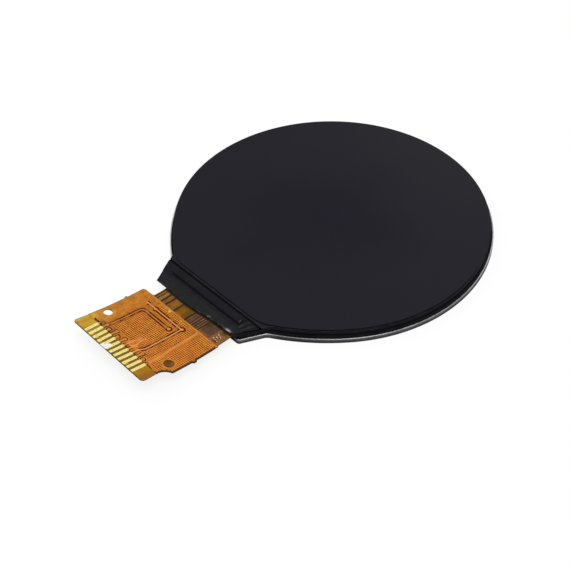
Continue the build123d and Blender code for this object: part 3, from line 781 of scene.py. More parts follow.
@dataclass(frozen=True)
class CoverFilm:
    """Amber film over copper: raised tracks, dark gaps, woven openings and the neck's leads.

    The mesh carries the patterns: `gap` is above 0 in a gap between copper, `shine` is how much a
    track or pad gleams, `weave` is how strongly the copper is woven, `flat` is the place on the flat
    tail in millimetres, `tint` is the slowly changing tone with painted shadows in it, and `rim` is a
    painted shade band along the tail's right edge.
    """

    name: str = "cover_film"
    # Tone of the painted shade band along the tail's right edge.
    rim_shade_tone: Tone = (72, 56, 42)
    lip_tone: Tone = (146, 122, 56)
    neck_gap: Tone = (66, 30, 8)
    gap_tone: Tone = (86, 22, 0)
    track_tone: Tone = (250, 178, 104)
    opening: Tone = (66, 18, 0)
    bridge: Tone = (240, 150, 58)
    ruddy: Tone = (204, 104, 46)
    pitch: Pair = (0.245, 0.234)
    share: Pair = (1.0, 1.05)
    neck_end: float = 2.0

    def build(self) -> Material:
        """Makes the material.

        Returns:
            The finished material.
        """
        recipe = Recipe(self.name)
        flat = recipe.add("ShaderNodeSeparateXYZ", {0: recipe.mark("flat", "Vector")}).outputs
        waves = []
        for axis, (pitch, share) in enumerate(zip(self.pitch, self.share)):
            turn = recipe.times(flat[axis], 2 * math.pi / pitch)
            waves.append(recipe.times(recipe.step("COSINE", turn), share))
        lattice = recipe.span(recipe.step("ADD", *waves), -0.12, 0.3)
        woven = recipe.mark("weave")
        cloud = recipe.noise(0.6, 3.0)
        fleck = recipe.noise(0.14, 3.0, (1.5, 0.6, 1.0))
        value = recipe.times(recipe.even(cloud, 0.86, 1.14), recipe.even(fleck, 0.84, 1.16))
        woven_tone = recipe.blend(lattice, self.bridge, self.opening)
        base = recipe.blend(woven, recipe.mark("tint", "Color"), woven_tone)
        blush = recipe.span(recipe.noise(2.6, 2.0), 0.42, 0.66, 0.0, 0.3)
        beyond_neck = recipe.span(flat[1], self.neck_end, self.neck_end + 0.3)
        base = recipe.blend(recipe.times(beyond_neck, blush), base, self.ruddy)
        base = recipe.brighten(base, value)
        base = recipe.blend(recipe.mark("shine"), base, self.track_tone)
        in_body = recipe.span(flat[1], self.neck_end, self.neck_end + 0.12)
        gap_tone = recipe.blend(in_body, self.neck_gap, self.gap_tone)
        base = recipe.blend(recipe.span(recipe.mark("gap"), -0.02, 0.012), base, gap_tone)
        # Painted shade band along the tail's right edge, standing in for the film's shaded side.
        base = recipe.blend(recipe.mark("rim"), base, self.rim_shade_tone)
        base = recipe.blend(recipe.mark("lip"), base, self.lip_tone)
        recipe.shade(
            Base_Color=base,
            Roughness=recipe.even(cloud, 0.3, 0.42),
            Specular_IOR_Level=0.06,
        )
        bumps = recipe.step("SUBTRACT", recipe.times(fleck, 0.5), recipe.times(lattice, woven))
        recipe.relief(bumps, 0.012, 0.7)
        return recipe.material


@dataclass(frozen=True)
class BareFilm:
    """Bare amber film at the tail's tip, in the tones that its mesh carries, with fine draw lines."""

    name: str = "bare_film"

    def build(self) -> Material:
        """Makes the material.

        Returns:
            The finished material.
        """
        recipe = Recipe(self.name)
        fine = recipe.noise(0.12, 4.0, (1.0, 0.35, 1.0))
        cloud = recipe.noise(0.8, 2.0)
        value = recipe.times(recipe.even(cloud, 0.93, 1.07), recipe.even(fine, 0.92, 1.08))
        recipe.shade(
            Base_Color=recipe.brighten(recipe.mark("tint", "Color"), value),
            Roughness=recipe.even(fine, 0.28, 0.4),
            Specular_IOR_Level=0.08,
        )
        recipe.relief(fine, 0.006, 0.6)
        return recipe.material


@dataclass(frozen=True)
class Plating:
    """Thin gold plating: satin, with rubbed streaks, brown pinholes and a painted white glare."""

    name: str = "gold_plating"
    pale: Tone = (255, 246, 164)
    deep: Tone = (255, 216, 128)
    pin: Tone = (104, 66, 20)
    # Tone of the painted white glare at the tip.
    glare_white: Tone = (255, 253, 250)

    def build(self) -> Material:
        """Makes the material.

        Returns:
            The finished material.
        """
        recipe = Recipe(self.name)
        streak = recipe.span(recipe.noise(0.22, 4.0, (1.6, 0.5, 1.0)), 0.34, 0.66)
        base = recipe.blend(streak, self.deep, self.pale)
        # Painted white glare where the mesh marks it.
        base = recipe.blend(recipe.mark("painted_glare"), base, self.glare_white)
        recipe.shade(
            Base_Color=recipe.blend(recipe.span(recipe.mark("pin"), 0.3, 0.7), base, self.pin),
            Metallic=0.12,
            Specular_IOR_Level=0.15,
            Roughness=recipe.span(streak, 0.0, 1.0, 0.46, 0.34),
        )
        recipe.relief(recipe.noise(0.05, 3.0), 0.003)
        return recipe.material


class Slot(Enum):
    """The record's material slots that a CAD node or a new piece takes its finish from."""

    CASE = "case_steel"
    FRAME = "frame_plastic"
    REFLECTOR = "reflector_white"
    GUIDE = "guide_clear"
    DIFFUSER = "diffuser_white"
    PRISM = "prism_clear"
    FLEX = "flex_amber"
    LAMP = "lamp_white"
    TAPE = "tape_black"
    POLARISER = "polariser_dark"
    GLASS = "panel_glass"
    CHIP = "chip_silicon"
    SEALANT = "sealant_black"
    BASE = "base_film"
    COPPER = "copper"
    GOLD = "contact_gold"
    SOLDER = "solder"
    CERAMIC = "capacitor_body"


PLAIN_FINISHES: dict[Slot, Finish] = {
    Slot.FRAME: Finish(
        "moulded_black", (18, 18, 20), (27, 27, 30), 2.0, 0.05, (0.5, 0.65), 0.006, specular=0.08
    ),
    Slot.REFLECTOR: Finish("reflector_white", (226, 227, 228), (240, 240, 240), 3.0, 0.1, (0.5, 0.6), 0.002),
    Slot.GUIDE: Finish(
        "guide_clear", (214, 222, 226), (232, 238, 240), 4.0, 0.3, (0.08, 0.2), 0.002, clear=0.85
    ),
    Slot.DIFFUSER: Finish("diffuser_white", (222, 222, 222), (236, 236, 236), 3.0, 0.04, (0.6, 0.75), 0.002),
    Slot.PRISM: Finish(
        "prism_clear", (200, 206, 212), (220, 225, 230), 3.0, 0.05, (0.12, 0.3), 0.01, clear=0.6
    ),
    Slot.FLEX: Finish("flex_amber", (168, 98, 34), (206, 134, 58), 0.9, 0.07, (0.3, 0.45), 0.006),
    Slot.LAMP: Finish("lamp_white", (218, 212, 190), (238, 234, 218), 0.8, 0.06, (0.4, 0.55), 0.004),
    Slot.TAPE: Finish(
        "tape_black", (18, 18, 19), (26, 26, 27), 1.5, 0.05, (0.5, 0.65), 0.005, specular=0.3
    ),
    Slot.POLARISER: Finish(
        "rear_polariser", (14, 14, 17), (20, 20, 24), 5.0, 0.04, (0.3, 0.4), 0.001, specular=0.3
    ),
    Slot.CHIP: Finish("chip_silicon", (52, 53, 60), (78, 80, 90), 0.8, 0.04, (0.25, 0.4), 0.002),
    Slot.SEALANT: Finish("sealant_black", (5, 5, 5), (9, 9, 10), 0.6, 0.08, (0.6, 0.75), 0.01, specular=0.1),
    Slot.COPPER: Finish(
        "bare_copper", (176, 104, 52), (212, 138, 80), 0.6, 0.05, (0.35, 0.5), 0.003, metal=0.8
    ),
    Slot.SOLDER: Finish(
        "tin_solder", (76, 42, 20), (240, 190, 142), 0.12, 0.06, (0.3, 0.5), 0.012, metal=0.2, specular=0.3
    ),
    Slot.CERAMIC: Finish("fired_ceramic", (128, 96, 66), (160, 122, 86), 0.35, 0.05, (0.5, 0.62), 0.006),
}
# Dark tone of the films' cut walls and of the cover film's underside: painted shade.
FILM_EDGE_SHADE = Finish("film_edge", (40, 25, 12), (62, 40, 20), 0.6, 0.05, (0.4, 0.5), 0.004, specular=0.2)
# Brown face of the back film, seen only through the right hole: painted shade of the floor under the tail.
HOLE_SHADE_FILM = Finish("hole_shade_film", (92, 56, 20), (134, 88, 44), 0.8, 0.05, (0.4, 0.5), 0.004, specular=0.1)
LOWER_GLASS = Finish("lower_glass", (25, 25, 27), (32, 32, 35), 2.5, 0.06, (0.3, 0.44), 0.002, specular=0.1)


class Finishes:
    """Every finish of the module, each built once."""

    def __init__(self) -> None:
        """Builds the finishes."""
        self.by_slot = {slot: finish.build() for slot, finish in PLAIN_FINISHES.items()}
        self.by_slot[Slot.CASE] = PressedSteel().build()
        self.by_slot[Slot.GLASS] = MarginGlass().build()
        self.by_slot[Slot.BASE] = BareFilm().build()
        self.by_slot[Slot.GOLD] = Plating().build()
        self.screen = ScreenFilm().build()
        self.ledge_tape = LedgeTapeFinish().build()
        self.cover = CoverFilm().build()
        self.film_edge = FILM_EDGE_SHADE.build()
        self.hole_shade_film = HOLE_SHADE_FILM.build()
        self.lower_glass = LOWER_GLASS.build()

    def dress_nodes(self, nodes: dict[str, bpy.types.Object], record: dict) -> None:
        """Gives every CAD node the finish of its slot.

        Args:
            nodes: the frame's CAD nodes.
            record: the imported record.
        """
        slots = {part["node"]: Slot(part["material_slot"]) for part in record["subparts"]}
        for name, node in nodes.items():
            node.data.materials.clear()
            node.data.materials.append(self.by_slot[slots[name]])


# Case and panel


@dataclass(frozen=True)
class ModuleOutline:
    """Outline of case and panel: a disc, slacker arcs at its lower quarters, and a leaning chin."""

    radius: float
    half_width: float
    end: float
    corner: float
    blend: float = 1.2
    lean: float = 25.0
    swell: float = 1.35
    swell_angle: float = 37.4

    @property
    def slack_radius(self) -> float:
        """Radius of the slacker arcs."""
        return self.swell * self.radius

    @property
    def slack_centre(self) -> Array:
        """Centre of the right slacker arc, which touches the disc from outside at its angle."""
        angle = math.radians(self.swell_angle)
        return (self.slack_radius - self.radius) * np.array([-math.cos(angle), math.sin(angle)])

    def round_part(self, inward: float, right: Array) -> Array:
        """Disc and both slacker arcs, from the end of the lower right run to its mirror image.

        Args:
            inward: how far inside the outline they lie.
            right: points that lead up to the right slacker arc.

        Returns:
            An open path, anticlockwise; the right run comes first and its mirror image last.
        """
        start = right[-1] - self.slack_centre
        turn = math.degrees(math.atan2(start[1], start[0]))
        slack = arc(tuple(self.slack_centre), self.slack_radius - inward, turn, -self.swell_angle, 60)
        disc = arc((0, 0), self.radius - inward, -self.swell_angle, 180 + self.swell_angle, 420)
        run = np.concatenate([right, slack[1:]])
        return np.concatenate([run, disc[1:-1], run[::-1] * [-1, 1]])

    def path(self) -> Array:
        """Whole outline.

        A side leaves the corner (w, -e) along d = (sin L, cos L). The blend's centre lies b outside
        that line and is q + b from the slacker arc's centre C with radius q, so t along the line
        solves |(w, -e) + b n + t d - C| = q + b.

        Returns:
            A closed path, anticlockwise.
        """
        tilt = math.radians(self.lean)
        along = np.array([math.sin(tilt), math.cos(tilt)])
        out = np.array([math.cos(tilt), -math.sin(tilt)])
        away = np.array([self.half_width, -self.end]) + self.blend * out - self.slack_centre
        half = away @ along
        t = -half - math.sqrt(half * half - away @ away + (self.slack_radius + self.blend) ** 2)
        centre = away + t * along + self.slack_centre
        toward = self.slack_centre - centre
        first = math.degrees(math.atan2(-out[1], -out[0]))
        last = math.degrees(math.atan2(toward[1], toward[0]))
        blend = arc(tuple(centre), self.blend, first, last, 13)
        upper = self.round_part(0.0, blend)
        chin = [(*upper[-1], 0), (-self.half_width, -self.end, self.corner)]
        chin += [(self.half_width, -self.end, self.corner), (*upper[0], 0)]
        return resampled(np.concatenate([upper, softened(chin, closed=False)[1:-1]]), 0.35)

    def above(self, chord: float, corner: float) -> Array:
        """Outline cut off straight across the chin's leaning sides.

        Args:
            chord: distance of the cut from the centre.
            corner: radius of its two corners.

        Returns:
            A closed path, anticlockwise.
        """
        path = self.path()
        reach = self.half_width + (self.end - chord) * math.tan(math.radians(self.lean))
        kept = path[path[:, 1] > 2 * corner - chord]
        start = int(np.argmax(np.linalg.norm(kept - np.roll(kept, 1, axis=0), axis=1)))
        kept = np.roll(kept, -start, axis=0)
        foot = [(*kept[-1], 0), (-reach, -chord, corner), (reach, -chord, corner), (*kept[0], 0)]
        return resampled(np.concatenate([kept, softened(foot, closed=False)[1:-1]]), 0.35)

    def rounded_above(self, chord: float, corner: float, inward: float) -> Array:
        """Outline cut off above the chin, with wide corners that run softly into the slacker arcs.

        A corner's circle of radius c touches the cut, and the arc's circle from inside: its centre is
        c above the cut and q - c from the slacker arc's centre.

        Args:
            chord: distance of the cut from the centre.
            corner: radius of its two corners.
            inward: how far inside the outline the rest lies.

        Returns:
            A closed path, anticlockwise.
        """
        rise = corner - chord - self.slack_centre[1]
        reach = math.sqrt((self.slack_radius - inward - corner) ** 2 - rise**2)
        centre = (self.slack_centre[0] + reach, corner - chord)
        turn = math.degrees(math.atan2(rise, reach))
        return resampled(self.round_part(inward, arc(centre, corner, -90, turn, 15)), 0.35)


@dataclass
class SteelCase:
    """Pressed dish: floor, bend, low wall and rounded rim, all from one sheet."""

    outline: ModuleOutline = ModuleOutline(17.79, 6.3, 19.5, 0.4)
    sheet: float = 0.15
    height: float = 0.56
    outer_bend: float = 0.03
    inner_bend: float = 0.03
    rim_radius: float = 0.03
    # Distances below the top between which the painted highlight along the rim fades in.
    rim_from: float = 0.05
    rim_to: float = 0.02
    dent: float = 0.012
    dent_from: float = 0.2
    dent_to: float = 0.45
    waves: tuple[Triple, ...] = ((23, 1.3, 0.5), (51, 0.0, 0.3), (89, 0.4, 0.2))

    def profile(self) -> list[Pair]:
        """Sheet's section from the middle of its back, out, up, over the rim and down inside.

        Returns:
            Inset and height of each point; bends and rim are quarter circles.
        """
        turns = np.linspace(0, math.pi / 2, 6)
        corner = [(1 - math.sin(a), 1 - math.cos(a)) for a in turns]
        back = [(self.outer_bend * across, self.outer_bend * up) for across, up in corner]
        inner = self.inner_bend
        within = [(self.sheet + inner * across, self.sheet + inner * up) for across, up in corner]
        r = self.rim_radius
        rounding = np.linspace(0, math.pi / 2, 4)
        outside = [(r * (1 - math.cos(a)), self.height - r * (1 - math.sin(a))) for a in rounding]
        inside_rim = [(self.sheet - d, h) for d, h in reversed(outside)]
        end = self.sheet + inner + 0.05
        return [(end, 0.0), *back, *outside, *inside_rim, *reversed(within), (end, self.sheet)]

    def build(self, finishes: Finishes) -> None:
        """Makes the case.

        The wall is pushed in by up to 0.012 mm with waves along the outline, as pressed sheet is:
        `waves` holds each wave's turns round the outline, phase and share.

        Args:
            finishes: where its finish comes from.
        """
        path = self.outline.path()
        profile = self.profile()
        rings = profile_rings(path, profile)
        angle = np.arctan2(path[:, 1], path[:, 0])
        wave = sum(share * np.sin(turns * angle + phase) for turns, phase, share in self.waves)
        dent = self.dent * (0.5 + 0.5 * wave) / self.outline.radius
        for ring, (distance, height) in zip(rings, profile):
            if distance < self.sheet + 0.001 and height > self.sheet:
                share = smooth(self.dent_from, self.dent_to, np.full(len(path), height))
                ring[:, :2] *= (1 - dent * share)[:, None]
        places, faces = carried(rings)
        heights = np.repeat([height for _, height in profile], len(path))
        marks = {
            # Painted highlight along the case's top edge.
            "rim": smooth(self.height - self.rim_from, self.height - self.rim_to, heights),
            "side": (heights > 0.5 * self.outer_bend).astype(float),
        }
        steel = finishes.by_slot[Slot.CASE]
        piece("steel_case", places, faces, [steel], ["back_frame"], Slot.CASE.value, marks=marks)


@dataclass
class Panel:
    """Glass sandwich: rear glass with its ledge, front glass cut square, and the screen film."""

    outline: ModuleOutline = ModuleOutline(17.45, 6.0, 19.94, 0.25)
    rear: Pair = (0.94, 1.19)
    front: Pair = (1.19, 1.44)
    screen: Pair = (1.44, 1.56)
    glass_chord: float = 17.2
    film_chord: float = 16.85
    film_corner: float = 4.0
    glass_corner: float = 0.12
    film_inset: float = 0.04
    glass_edge: float = 0.022
    film_edge: float = 0.012

    def build(self, finishes: Finishes) -> None:
        """Makes the two glasses and the screen film.

        Args:
            finishes: where their finishes come from.
        """
        glass = Slot.GLASS.value
        rings = profile_rings(self.outline.path(), plate_profile(*self.rear, self.glass_edge))
        piece("rear_glass_plate", *carried(rings), [finishes.lower_glass], ["rear_glass"], glass)
        path = self.outline.above(self.glass_chord, self.glass_corner)
        rings = profile_rings(path, plate_profile(*self.front, self.glass_edge))
        piece("front_glass_plate", *carried(rings), [finishes.by_slot[Slot.GLASS]], ["front_glass"], glass)
        path = self.outline.rounded_above(self.film_chord, self.film_corner, self.film_inset)
        profile = plate_profile(*self.screen, self.film_edge)
        # Marks the film's side wall, which its finish paints nearly black as shade.
        wall = np.repeat([float(distance < 0.9 * self.film_edge) for distance, _ in profile], len(path))
        piece(
            "screen_film_sheet", *carried(profile_rings(path, profile)), [finishes.screen],
            ["front_polarizer"], Slot.POLARISER.value, marks={"wall": wall},
        )


@dataclass
class LedgeTape:
    """Black tape over the chip and the tail's bonded end, pressed down round the chip."""

    start: float = 17.3
    half_start: float = 7.25
    thickness: float = 0.05
    chip: tuple[float, float, float, float] = (-5.3, 5.3, -18.38, -17.55)
    over_chip: float = 1.49
    beside_chip: float = 1.45
    over_tail: float = 1.35
    slope: Pair = (-18.64, -19.12)
    front: Path = (
        (-5.75, -20.3), (-3.5, -20.27), (-1.0, -20.27), (0.6, -20.21),
        (2.0, -20.04), (3.4, -19.93), (4.6, -19.88), (5.4, -19.86),
    )
    right_corner: Pair = (5.95, -19.49)
    # Paths along which pale highlights are painted; painted shade runs beside the second.
    wrinkles: tuple[Path, ...] = (
        ((5.6, -18.66), (5.66, -18.13), (5.76, -17.77), (5.84, -17.5)),
        ((6.05, -18.75), (6.21, -18.4), (6.35, -17.88), (6.48, -17.63), (6.62, -17.45)),
    )
    # Middle of the painted whitish glint at the front edge's right end.
    blob: Pair = (5.16, -19.78)
    trough: float = 0.02
    side_sag: float = 0.045
    side_crease: float = 0.02
    side_crumple: float = 0.02
    pitch: float = 0.05

    def outline(self) -> Array:
        """Outline seen square-on: leaning sides, and a front edge that draws back at the right.

        Returns:
            A closed path, anticlockwise.
        """
        knots = np.array(self.front)
        x = np.linspace(knots[0, 0], knots[-1, 0], 96)
        curve = np.interp(x, *knots.T)
        curve = np.convolve(np.pad(curve, 5, mode="edge"), np.full(11, 1 / 11), mode="valid")
        fray = 0.03 * np.sin(6.3 * x) * smooth(1.0, 2.4, x) + 0.012 * np.sin(11.0 * x)
        line = np.stack([x, curve + fray], -1)
        rest = [self.right_corner, (self.half_start, -self.start), (-self.half_start, -self.start)]
        return resampled(np.concatenate([line, np.array(rest)]), 0.1)

    def lift(self, x: Array, y: Array) -> Array:
        """How far the front edge stands up: rounded ripples along the right half of the edge."""
        near = smooth(-19.45, -19.85, y) * smooth(1.2, 2.6, x)
        return near * (0.03 + 0.03 * np.sin(3.4 * x + 0.6) + 0.015 * np.sin(9.1 * x))

    def beyond_side(self, x: Array, y: Array) -> Array:
        """Distance inwards from the leaning right side."""
        lean = math.atan2(self.half_start - self.right_corner[0], -self.start - self.right_corner[1])
        return (self.half_start - x) * math.cos(lean) + (y + self.start) * math.sin(lean)

    def height(self, x: Array, y: Array) -> Array:
        """Height of the upper face.

        A soft box raises it over the chip, a soft step takes it down onto the tail, slow waves of a
        hundredth of a millimetre run over it, ripples lift the front edge, and the right side sags
        over the ledge's edge with a crease along it.

        Args:
            x: places' X.
            y: places' Y.

        Returns:
            Heights in millimetres.
        """
        chip = in_box(x, y, *self.chip, 0.04)
        level = self.beside_chip + (self.over_chip - self.beside_chip) * chip
        level = level + (self.over_tail - level) * smooth(*self.slope, y)
        wave = 0.004 * np.sin(1.7 * x + 2.1 * y) + 0.003 * (np.sin(3.9 * x - 1.2 * y) + np.sin(6.1 * y))
        trough = self.trough * in_box(x, y, -5.45, 5.5, -18.62, -18.44, 0.06)
        side = self.beyond_side(x, y)
        sag = self.side_sag * smooth(0.55, 0.1, side)
        crease = self.side_crease * bell(side - 0.5, 0.07) * smooth(-17.4, -18.2, y)
        crumple = self.side_crumple * np.sin(14 * x + 9 * y)
        crumple = crumple * smooth(0.9, 0.2, side) * smooth(-18.6, -19.4, y)
        return level + wave - trough - sag - crease + crumple + self.lift(x, y)

    def build(self, finishes: Finishes) -> None:
        """Makes the tape.

        Args:
            finishes: where its finish comes from.
        """
        points, triangles = triangulated(self.outline(), [], (self.pitch, self.pitch))
        x, y = points.T
        top = np.column_stack([x, y, self.height(x, y)])
        places, faces, _ = sheet(triangles, top, top - [0, 0, self.thickness])
        piece(
            "ledge_tape_strip", places, faces, [finishes.ledge_tape],
            ["ledge_cover_tape"], Slot.TAPE.value, marks=self.light_and_shade_marks(places[:, 0], places[:, 1]),
        )

    def light_and_shade_marks(self, x: Array, y: Array) -> dict[str, Array]:
        """Painted light and shade on the tape, each from 0 to 1.

        `crease` is painted shade along the chip's long side and round its right end, beside a wrinkle and in
        the groove at the tape's back edge, `fold` the painted pale highlights beside it and along the leaning
        side, `fray` the painted thin highlight along the front edge, `lift` the faint painted glints where
        that edge stands up, and `blob` the painted whitish glint at its right end.

        Args:
            x: places' X.
            y: places' Y.

        Returns:
            The marks by name.
        """
        left, right, near, _ = self.chip
        long = bell(y - near + 0.05, 0.11) * smooth(left - 0.1, left + 0.1, x) * smooth(right + 0.1, right, x)
        slant = right - 0.15 * (y - near)
        short = bell(x - slant, 0.09) * smooth(near - 0.14, near - 0.06, y) * smooth(-17.6, -17.8, y)
        glint = bell(x - slant + 0.2, 0.06) * smooth(near + 0.05, near + 0.2, y) * smooth(-17.8, -18.0, y)
        top = smooth(-self.start - 0.12, -self.start - 0.06, y)
        first, second = (np.array(path) for path in self.wrinkles)
        wrinkle_highlights = np.maximum(bell(to_path(x, y, first), 0.11), bell(to_path(x, y, second), 0.11))
        dark = 0.7 * bell(to_path(x, y, second - [0.2, 0.04]), 0.07)
        edge = y - np.interp(x, *np.array(self.front).T)
        blob = 1.5 * bell(x - self.blob[0], 0.36) * bell(y - self.blob[1], 0.15)
        return {
            # Painted shade first, then the painted highlights and glints.
            "crease": np.clip(np.maximum.reduce([1.4 * long, 1.2 * short, dark, top]), 0, 1),
            "fold": np.maximum(0.9 * glint, 0.32 * wrinkle_highlights),
            "fray": 0.7 * smooth(0.08, 0.0, edge) * smooth(5.6, 5.0, x),
            "lift": smooth(0.02, 0.07, self.lift(x, y)) * smooth(-19.6, -19.84, y),
            "blob": np.clip(blob, 0, 1),
        }


# Flex tail


@dataclass(frozen=True)
class Curl:
    """How the flat tail is curved: level on the ledge, then round a wide skewed roll.

    With u along the roll's axis and v across it, a height h past v0 goes to
    (u, v0 + r sin a, h + r (1 - cos a)), where a = (v - v0) / R and r = R - (h - neutral).
    """

    radius: float = 44.0
    skew: float = 8.5
    start: float = 0.618
    neutral: float = 1.24
    ledge_end: float = 19.94

    def place(self, x: Array, reach: Array, height: Array | float) -> Array:
        """Places of points of the flat tail.

        Args:
            x: distance to the right.
            reach: distance beyond the ledge's end, along the film.
            height: height above the floor that the point has where the tail is level.

        Returns:
            X, Y and Z in millimetres.
        """
        skew = math.radians(self.skew)
        u = x * math.cos(skew) + reach * math.sin(skew)
        v = reach * math.cos(skew) - x * math.sin(skew)
        angle = np.maximum(0, v - self.start) / self.radius
        r = self.radius + self.neutral - height
        across = np.minimum(v, self.start) + r * np.sin(angle)
        rise = height + r * (1 - np.cos(angle))
        return np.stack(
            [
                u * math.cos(skew) - across * math.sin(skew),
                -(self.ledge_end + u * math.sin(skew) + across * math.cos(skew)),
                rise + 0 * u,
            ],
            -1,
        )


@dataclass(frozen=True)
class Contacts:
    """The row of contact fingers at the tail's tip."""

    count: int = 12
    pitch: float = 0.695
    middle: float = -0.32
    width: float = 0.37
    start: float = 9.42
    end: float = 11.28
    lead_width: float = 0.24
    pad_reach: tuple[float, ...] = (9.3, 8.76, 9.1, 8.64, 9.08, 8.7, 8.3, 8.2, 8.6, 8.66, 9.17, 9.3)
    pads: tuple[int, ...] = (1, 2, 3, 4, 5, 9, 10)
    dots: tuple[int, ...] = (5, 9, 10)

    def x(self, number: int) -> float:
        """X of a finger, counted from 0 on the left."""
        return self.middle + (number - (self.count - 1) / 2) * self.pitch

    def middle_line(self, number: int, s: Array | float) -> Array:
        """X of a finger's middle at each reach: each leans a little to the right, the left ones more."""
        lean = 0.05 + 0.14 * smooth(7.0, 3.0, np.array(float(number)))
        return self.x(number) + lean * np.clip((s - self.start) / (self.end - self.start), 0, 1)

    def glare_spot(self, x: Array, s: Array) -> Array:
        """How much of the painted white glare at the tip covers each place: a blob that widens to the edge.

        Args:
            x: distance to the right on the flat tail.
            s: reach on the flat tail.

        Returns:
            Shares from 0 to 1.
        """
        blob = 1 - np.hypot((x + 0.8) / 0.36, (s - 10.85) / 0.58)
        foot = np.minimum(0.5 - np.abs(x + 0.95), s - 10.9) / 0.3
        return smooth(0.0, 0.3, np.maximum(blob, foot))


class FilmTone(Enum):
    """Tones of the amber film as a screen shows them, some of them painted shade and shadow on it."""

    ORANGE = (190, 116, 34)
    AMBER = (202, 136, 50)
    ROSE = (222, 136, 60)
    GILT = (206, 146, 34)
    YELLOW = (236, 194, 62)
    OLIVE = (140, 104, 48)
    MAUVE = (122, 86, 46)
    GLOW = (158, 94, 4)
    HONEY = (132, 92, 6)
    GOLD = (104, 70, 24)
    EMBER = (172, 96, 26)
    UMBER = (98, 66, 38)
    ASH = (134, 116, 94)
    # Tone of the painted shade seen through the neck's clear window.
    WINDOW_SHADE = (88, 65, 52)
    MOSS = (64, 58, 22)
    CLAY = (138, 94, 54)
    # Tone of the painted shadow under the tape's lifted corner.
    LIFT_SHADOW = (66, 42, 22)
    # Tone of the painted shadow under the tape's front edge.
    TAPE_EDGE_SHADOW = (20, 11, 8)
    MUSTARD = (204, 174, 66)
    STRIPE = (206, 146, 46)
    SAND = (200, 158, 42)
    BROWN = (168, 120, 20)
    RUST = (156, 100, 32)
    REED = (156, 134, 40)
    FERN = (126, 100, 14)
    LIME = (226, 214, 40)
    # Tone of the painted shade along the bare film's cut edges.
    EDGE_SHADE = (84, 78, 30)

    @property
    def colour(self) -> Array:
        """The tone as a linear colour."""
        return np.array(linear(self.value)[:3])


@dataclass(frozen=True)
class Wash:
    """A tone laid over a soft box on the film: its left, right, near and far edge and its softness."""

    tone: FilmTone
    strength: float
    place: tuple[float, ...]

    def share(self, x: Array, s: Array) -> Array:
        """How strongly each place takes the tone."""
        return in_box(x, s, *self.place, self.strength)

    def over(self, colours: Array, x: Array, s: Array) -> Array:
        """The colours with the tone laid over them."""
        return mixed(colours, self.tone.colour, self.share(x, s))


@dataclass(frozen=True)
class Spot(Wash):
    """A tone laid over a soft round spot, exp(-(dx / w)² - (ds / h)²): its x, reach, w and h."""

    def share(self, x: Array, s: Array) -> Array:
        """How strongly each place takes the tone."""
        middle, reach, wide, high = self.place
        return self.strength * bell(x - middle, wide) * bell(s - reach, high)


BODY_WASHES: tuple[Wash, ...] = (
    Wash(FilmTone.ROSE, 0.5, (-0.6, 2.0, 6.4, 9.2, 0.8)),
    Wash(FilmTone.ROSE, 0.4, (2.0, 6.0, 7.2, 9.4, 0.6)),
    Wash(FilmTone.OLIVE, 0.22, (-4.8, 0.1, 2.0, 2.62, 0.12)),
    Wash(FilmTone.GILT, 0.3, (2.0, 2.6, 5.4, 7.4, 0.4)),
    Spot(FilmTone.YELLOW, 1.0, (-1.2, 2.38, 0.16, 0.22)),
    Spot(FilmTone.YELLOW, 0.6, (-5.6, 9.0, 0.4, 0.3)),
    Wash(FilmTone.YELLOW, 0.5, (-3.7, -3.05, 2.24, 2.36, 0.04)),
    Wash(FilmTone.YELLOW, 0.4, (-2.6, -1.7, 2.3, 2.4, 0.05)),
    Wash(FilmTone.OLIVE, 0.5, (-4.4, -1.9, 8.55, 9.5, 0.25)),
    Spot(FilmTone.UMBER, 0.4, (-3.9, 8.9, 0.4, 0.3)),
    # Painted shadow of the left hole's wall, on its far side.
    Spot(FilmTone.UMBER, 0.7, (-5.28, 6.97, 0.3, 0.12)),
)
NECK_WASHES: tuple[Wash, ...] = (
    Wash(FilmTone.OLIVE, 1.0, (-9, -3.025, -9, 9, 0.075)),
    Wash(FilmTone.MAUVE, 1.0, (-3.05, -1.1, -9, 9, 0.04)),
    Spot(FilmTone.GLOW, 0.85, (-1.66, 1.3, 0.34, 0.5)),
    Wash(FilmTone.GOLD, 1.0, (-1.06, 0.66, -9, 9, 0.04)),
    Spot(FilmTone.HONEY, 0.9, (-0.35, 1.15, 0.6, 0.5)),
    Spot(FilmTone.EMBER, 1.0, (-0.25, 2.0, 0.5, 0.3)),
    Spot(FilmTone.MOSS, 0.5, (-0.9, 1.65, 0.2, 0.3)),
    *(Spot(FilmTone.ASH, 0.6, (streak, 1.1, 0.05, 1.5)) for streak in (0.98, 1.27, 1.73, 2.07, 2.38, 2.66)),
    # Clear window in the neck: the film is clear there and the tone is painted shade of what lies under it.
    Wash(FilmTone.WINDOW_SHADE, 1.0, (2.94, 4.5, -9, 9, 0.05)),
    Spot(FilmTone.MOSS, 1.0, (3.1, 0.6, 0.42, 0.5)),
    Wash(FilmTone.EMBER, 0.55, (2.9, 4.4, 1.75, 3, 0.3)),
    Wash(FilmTone.CLAY, 1.0, (4.525, 9, -9, 9, 0.075)),
    # Painted shadow under the tape's lifted corner.
    Spot(FilmTone.LIFT_SHADOW, 1.0, (5.15, 0.25, 0.5, 0.35)),
)


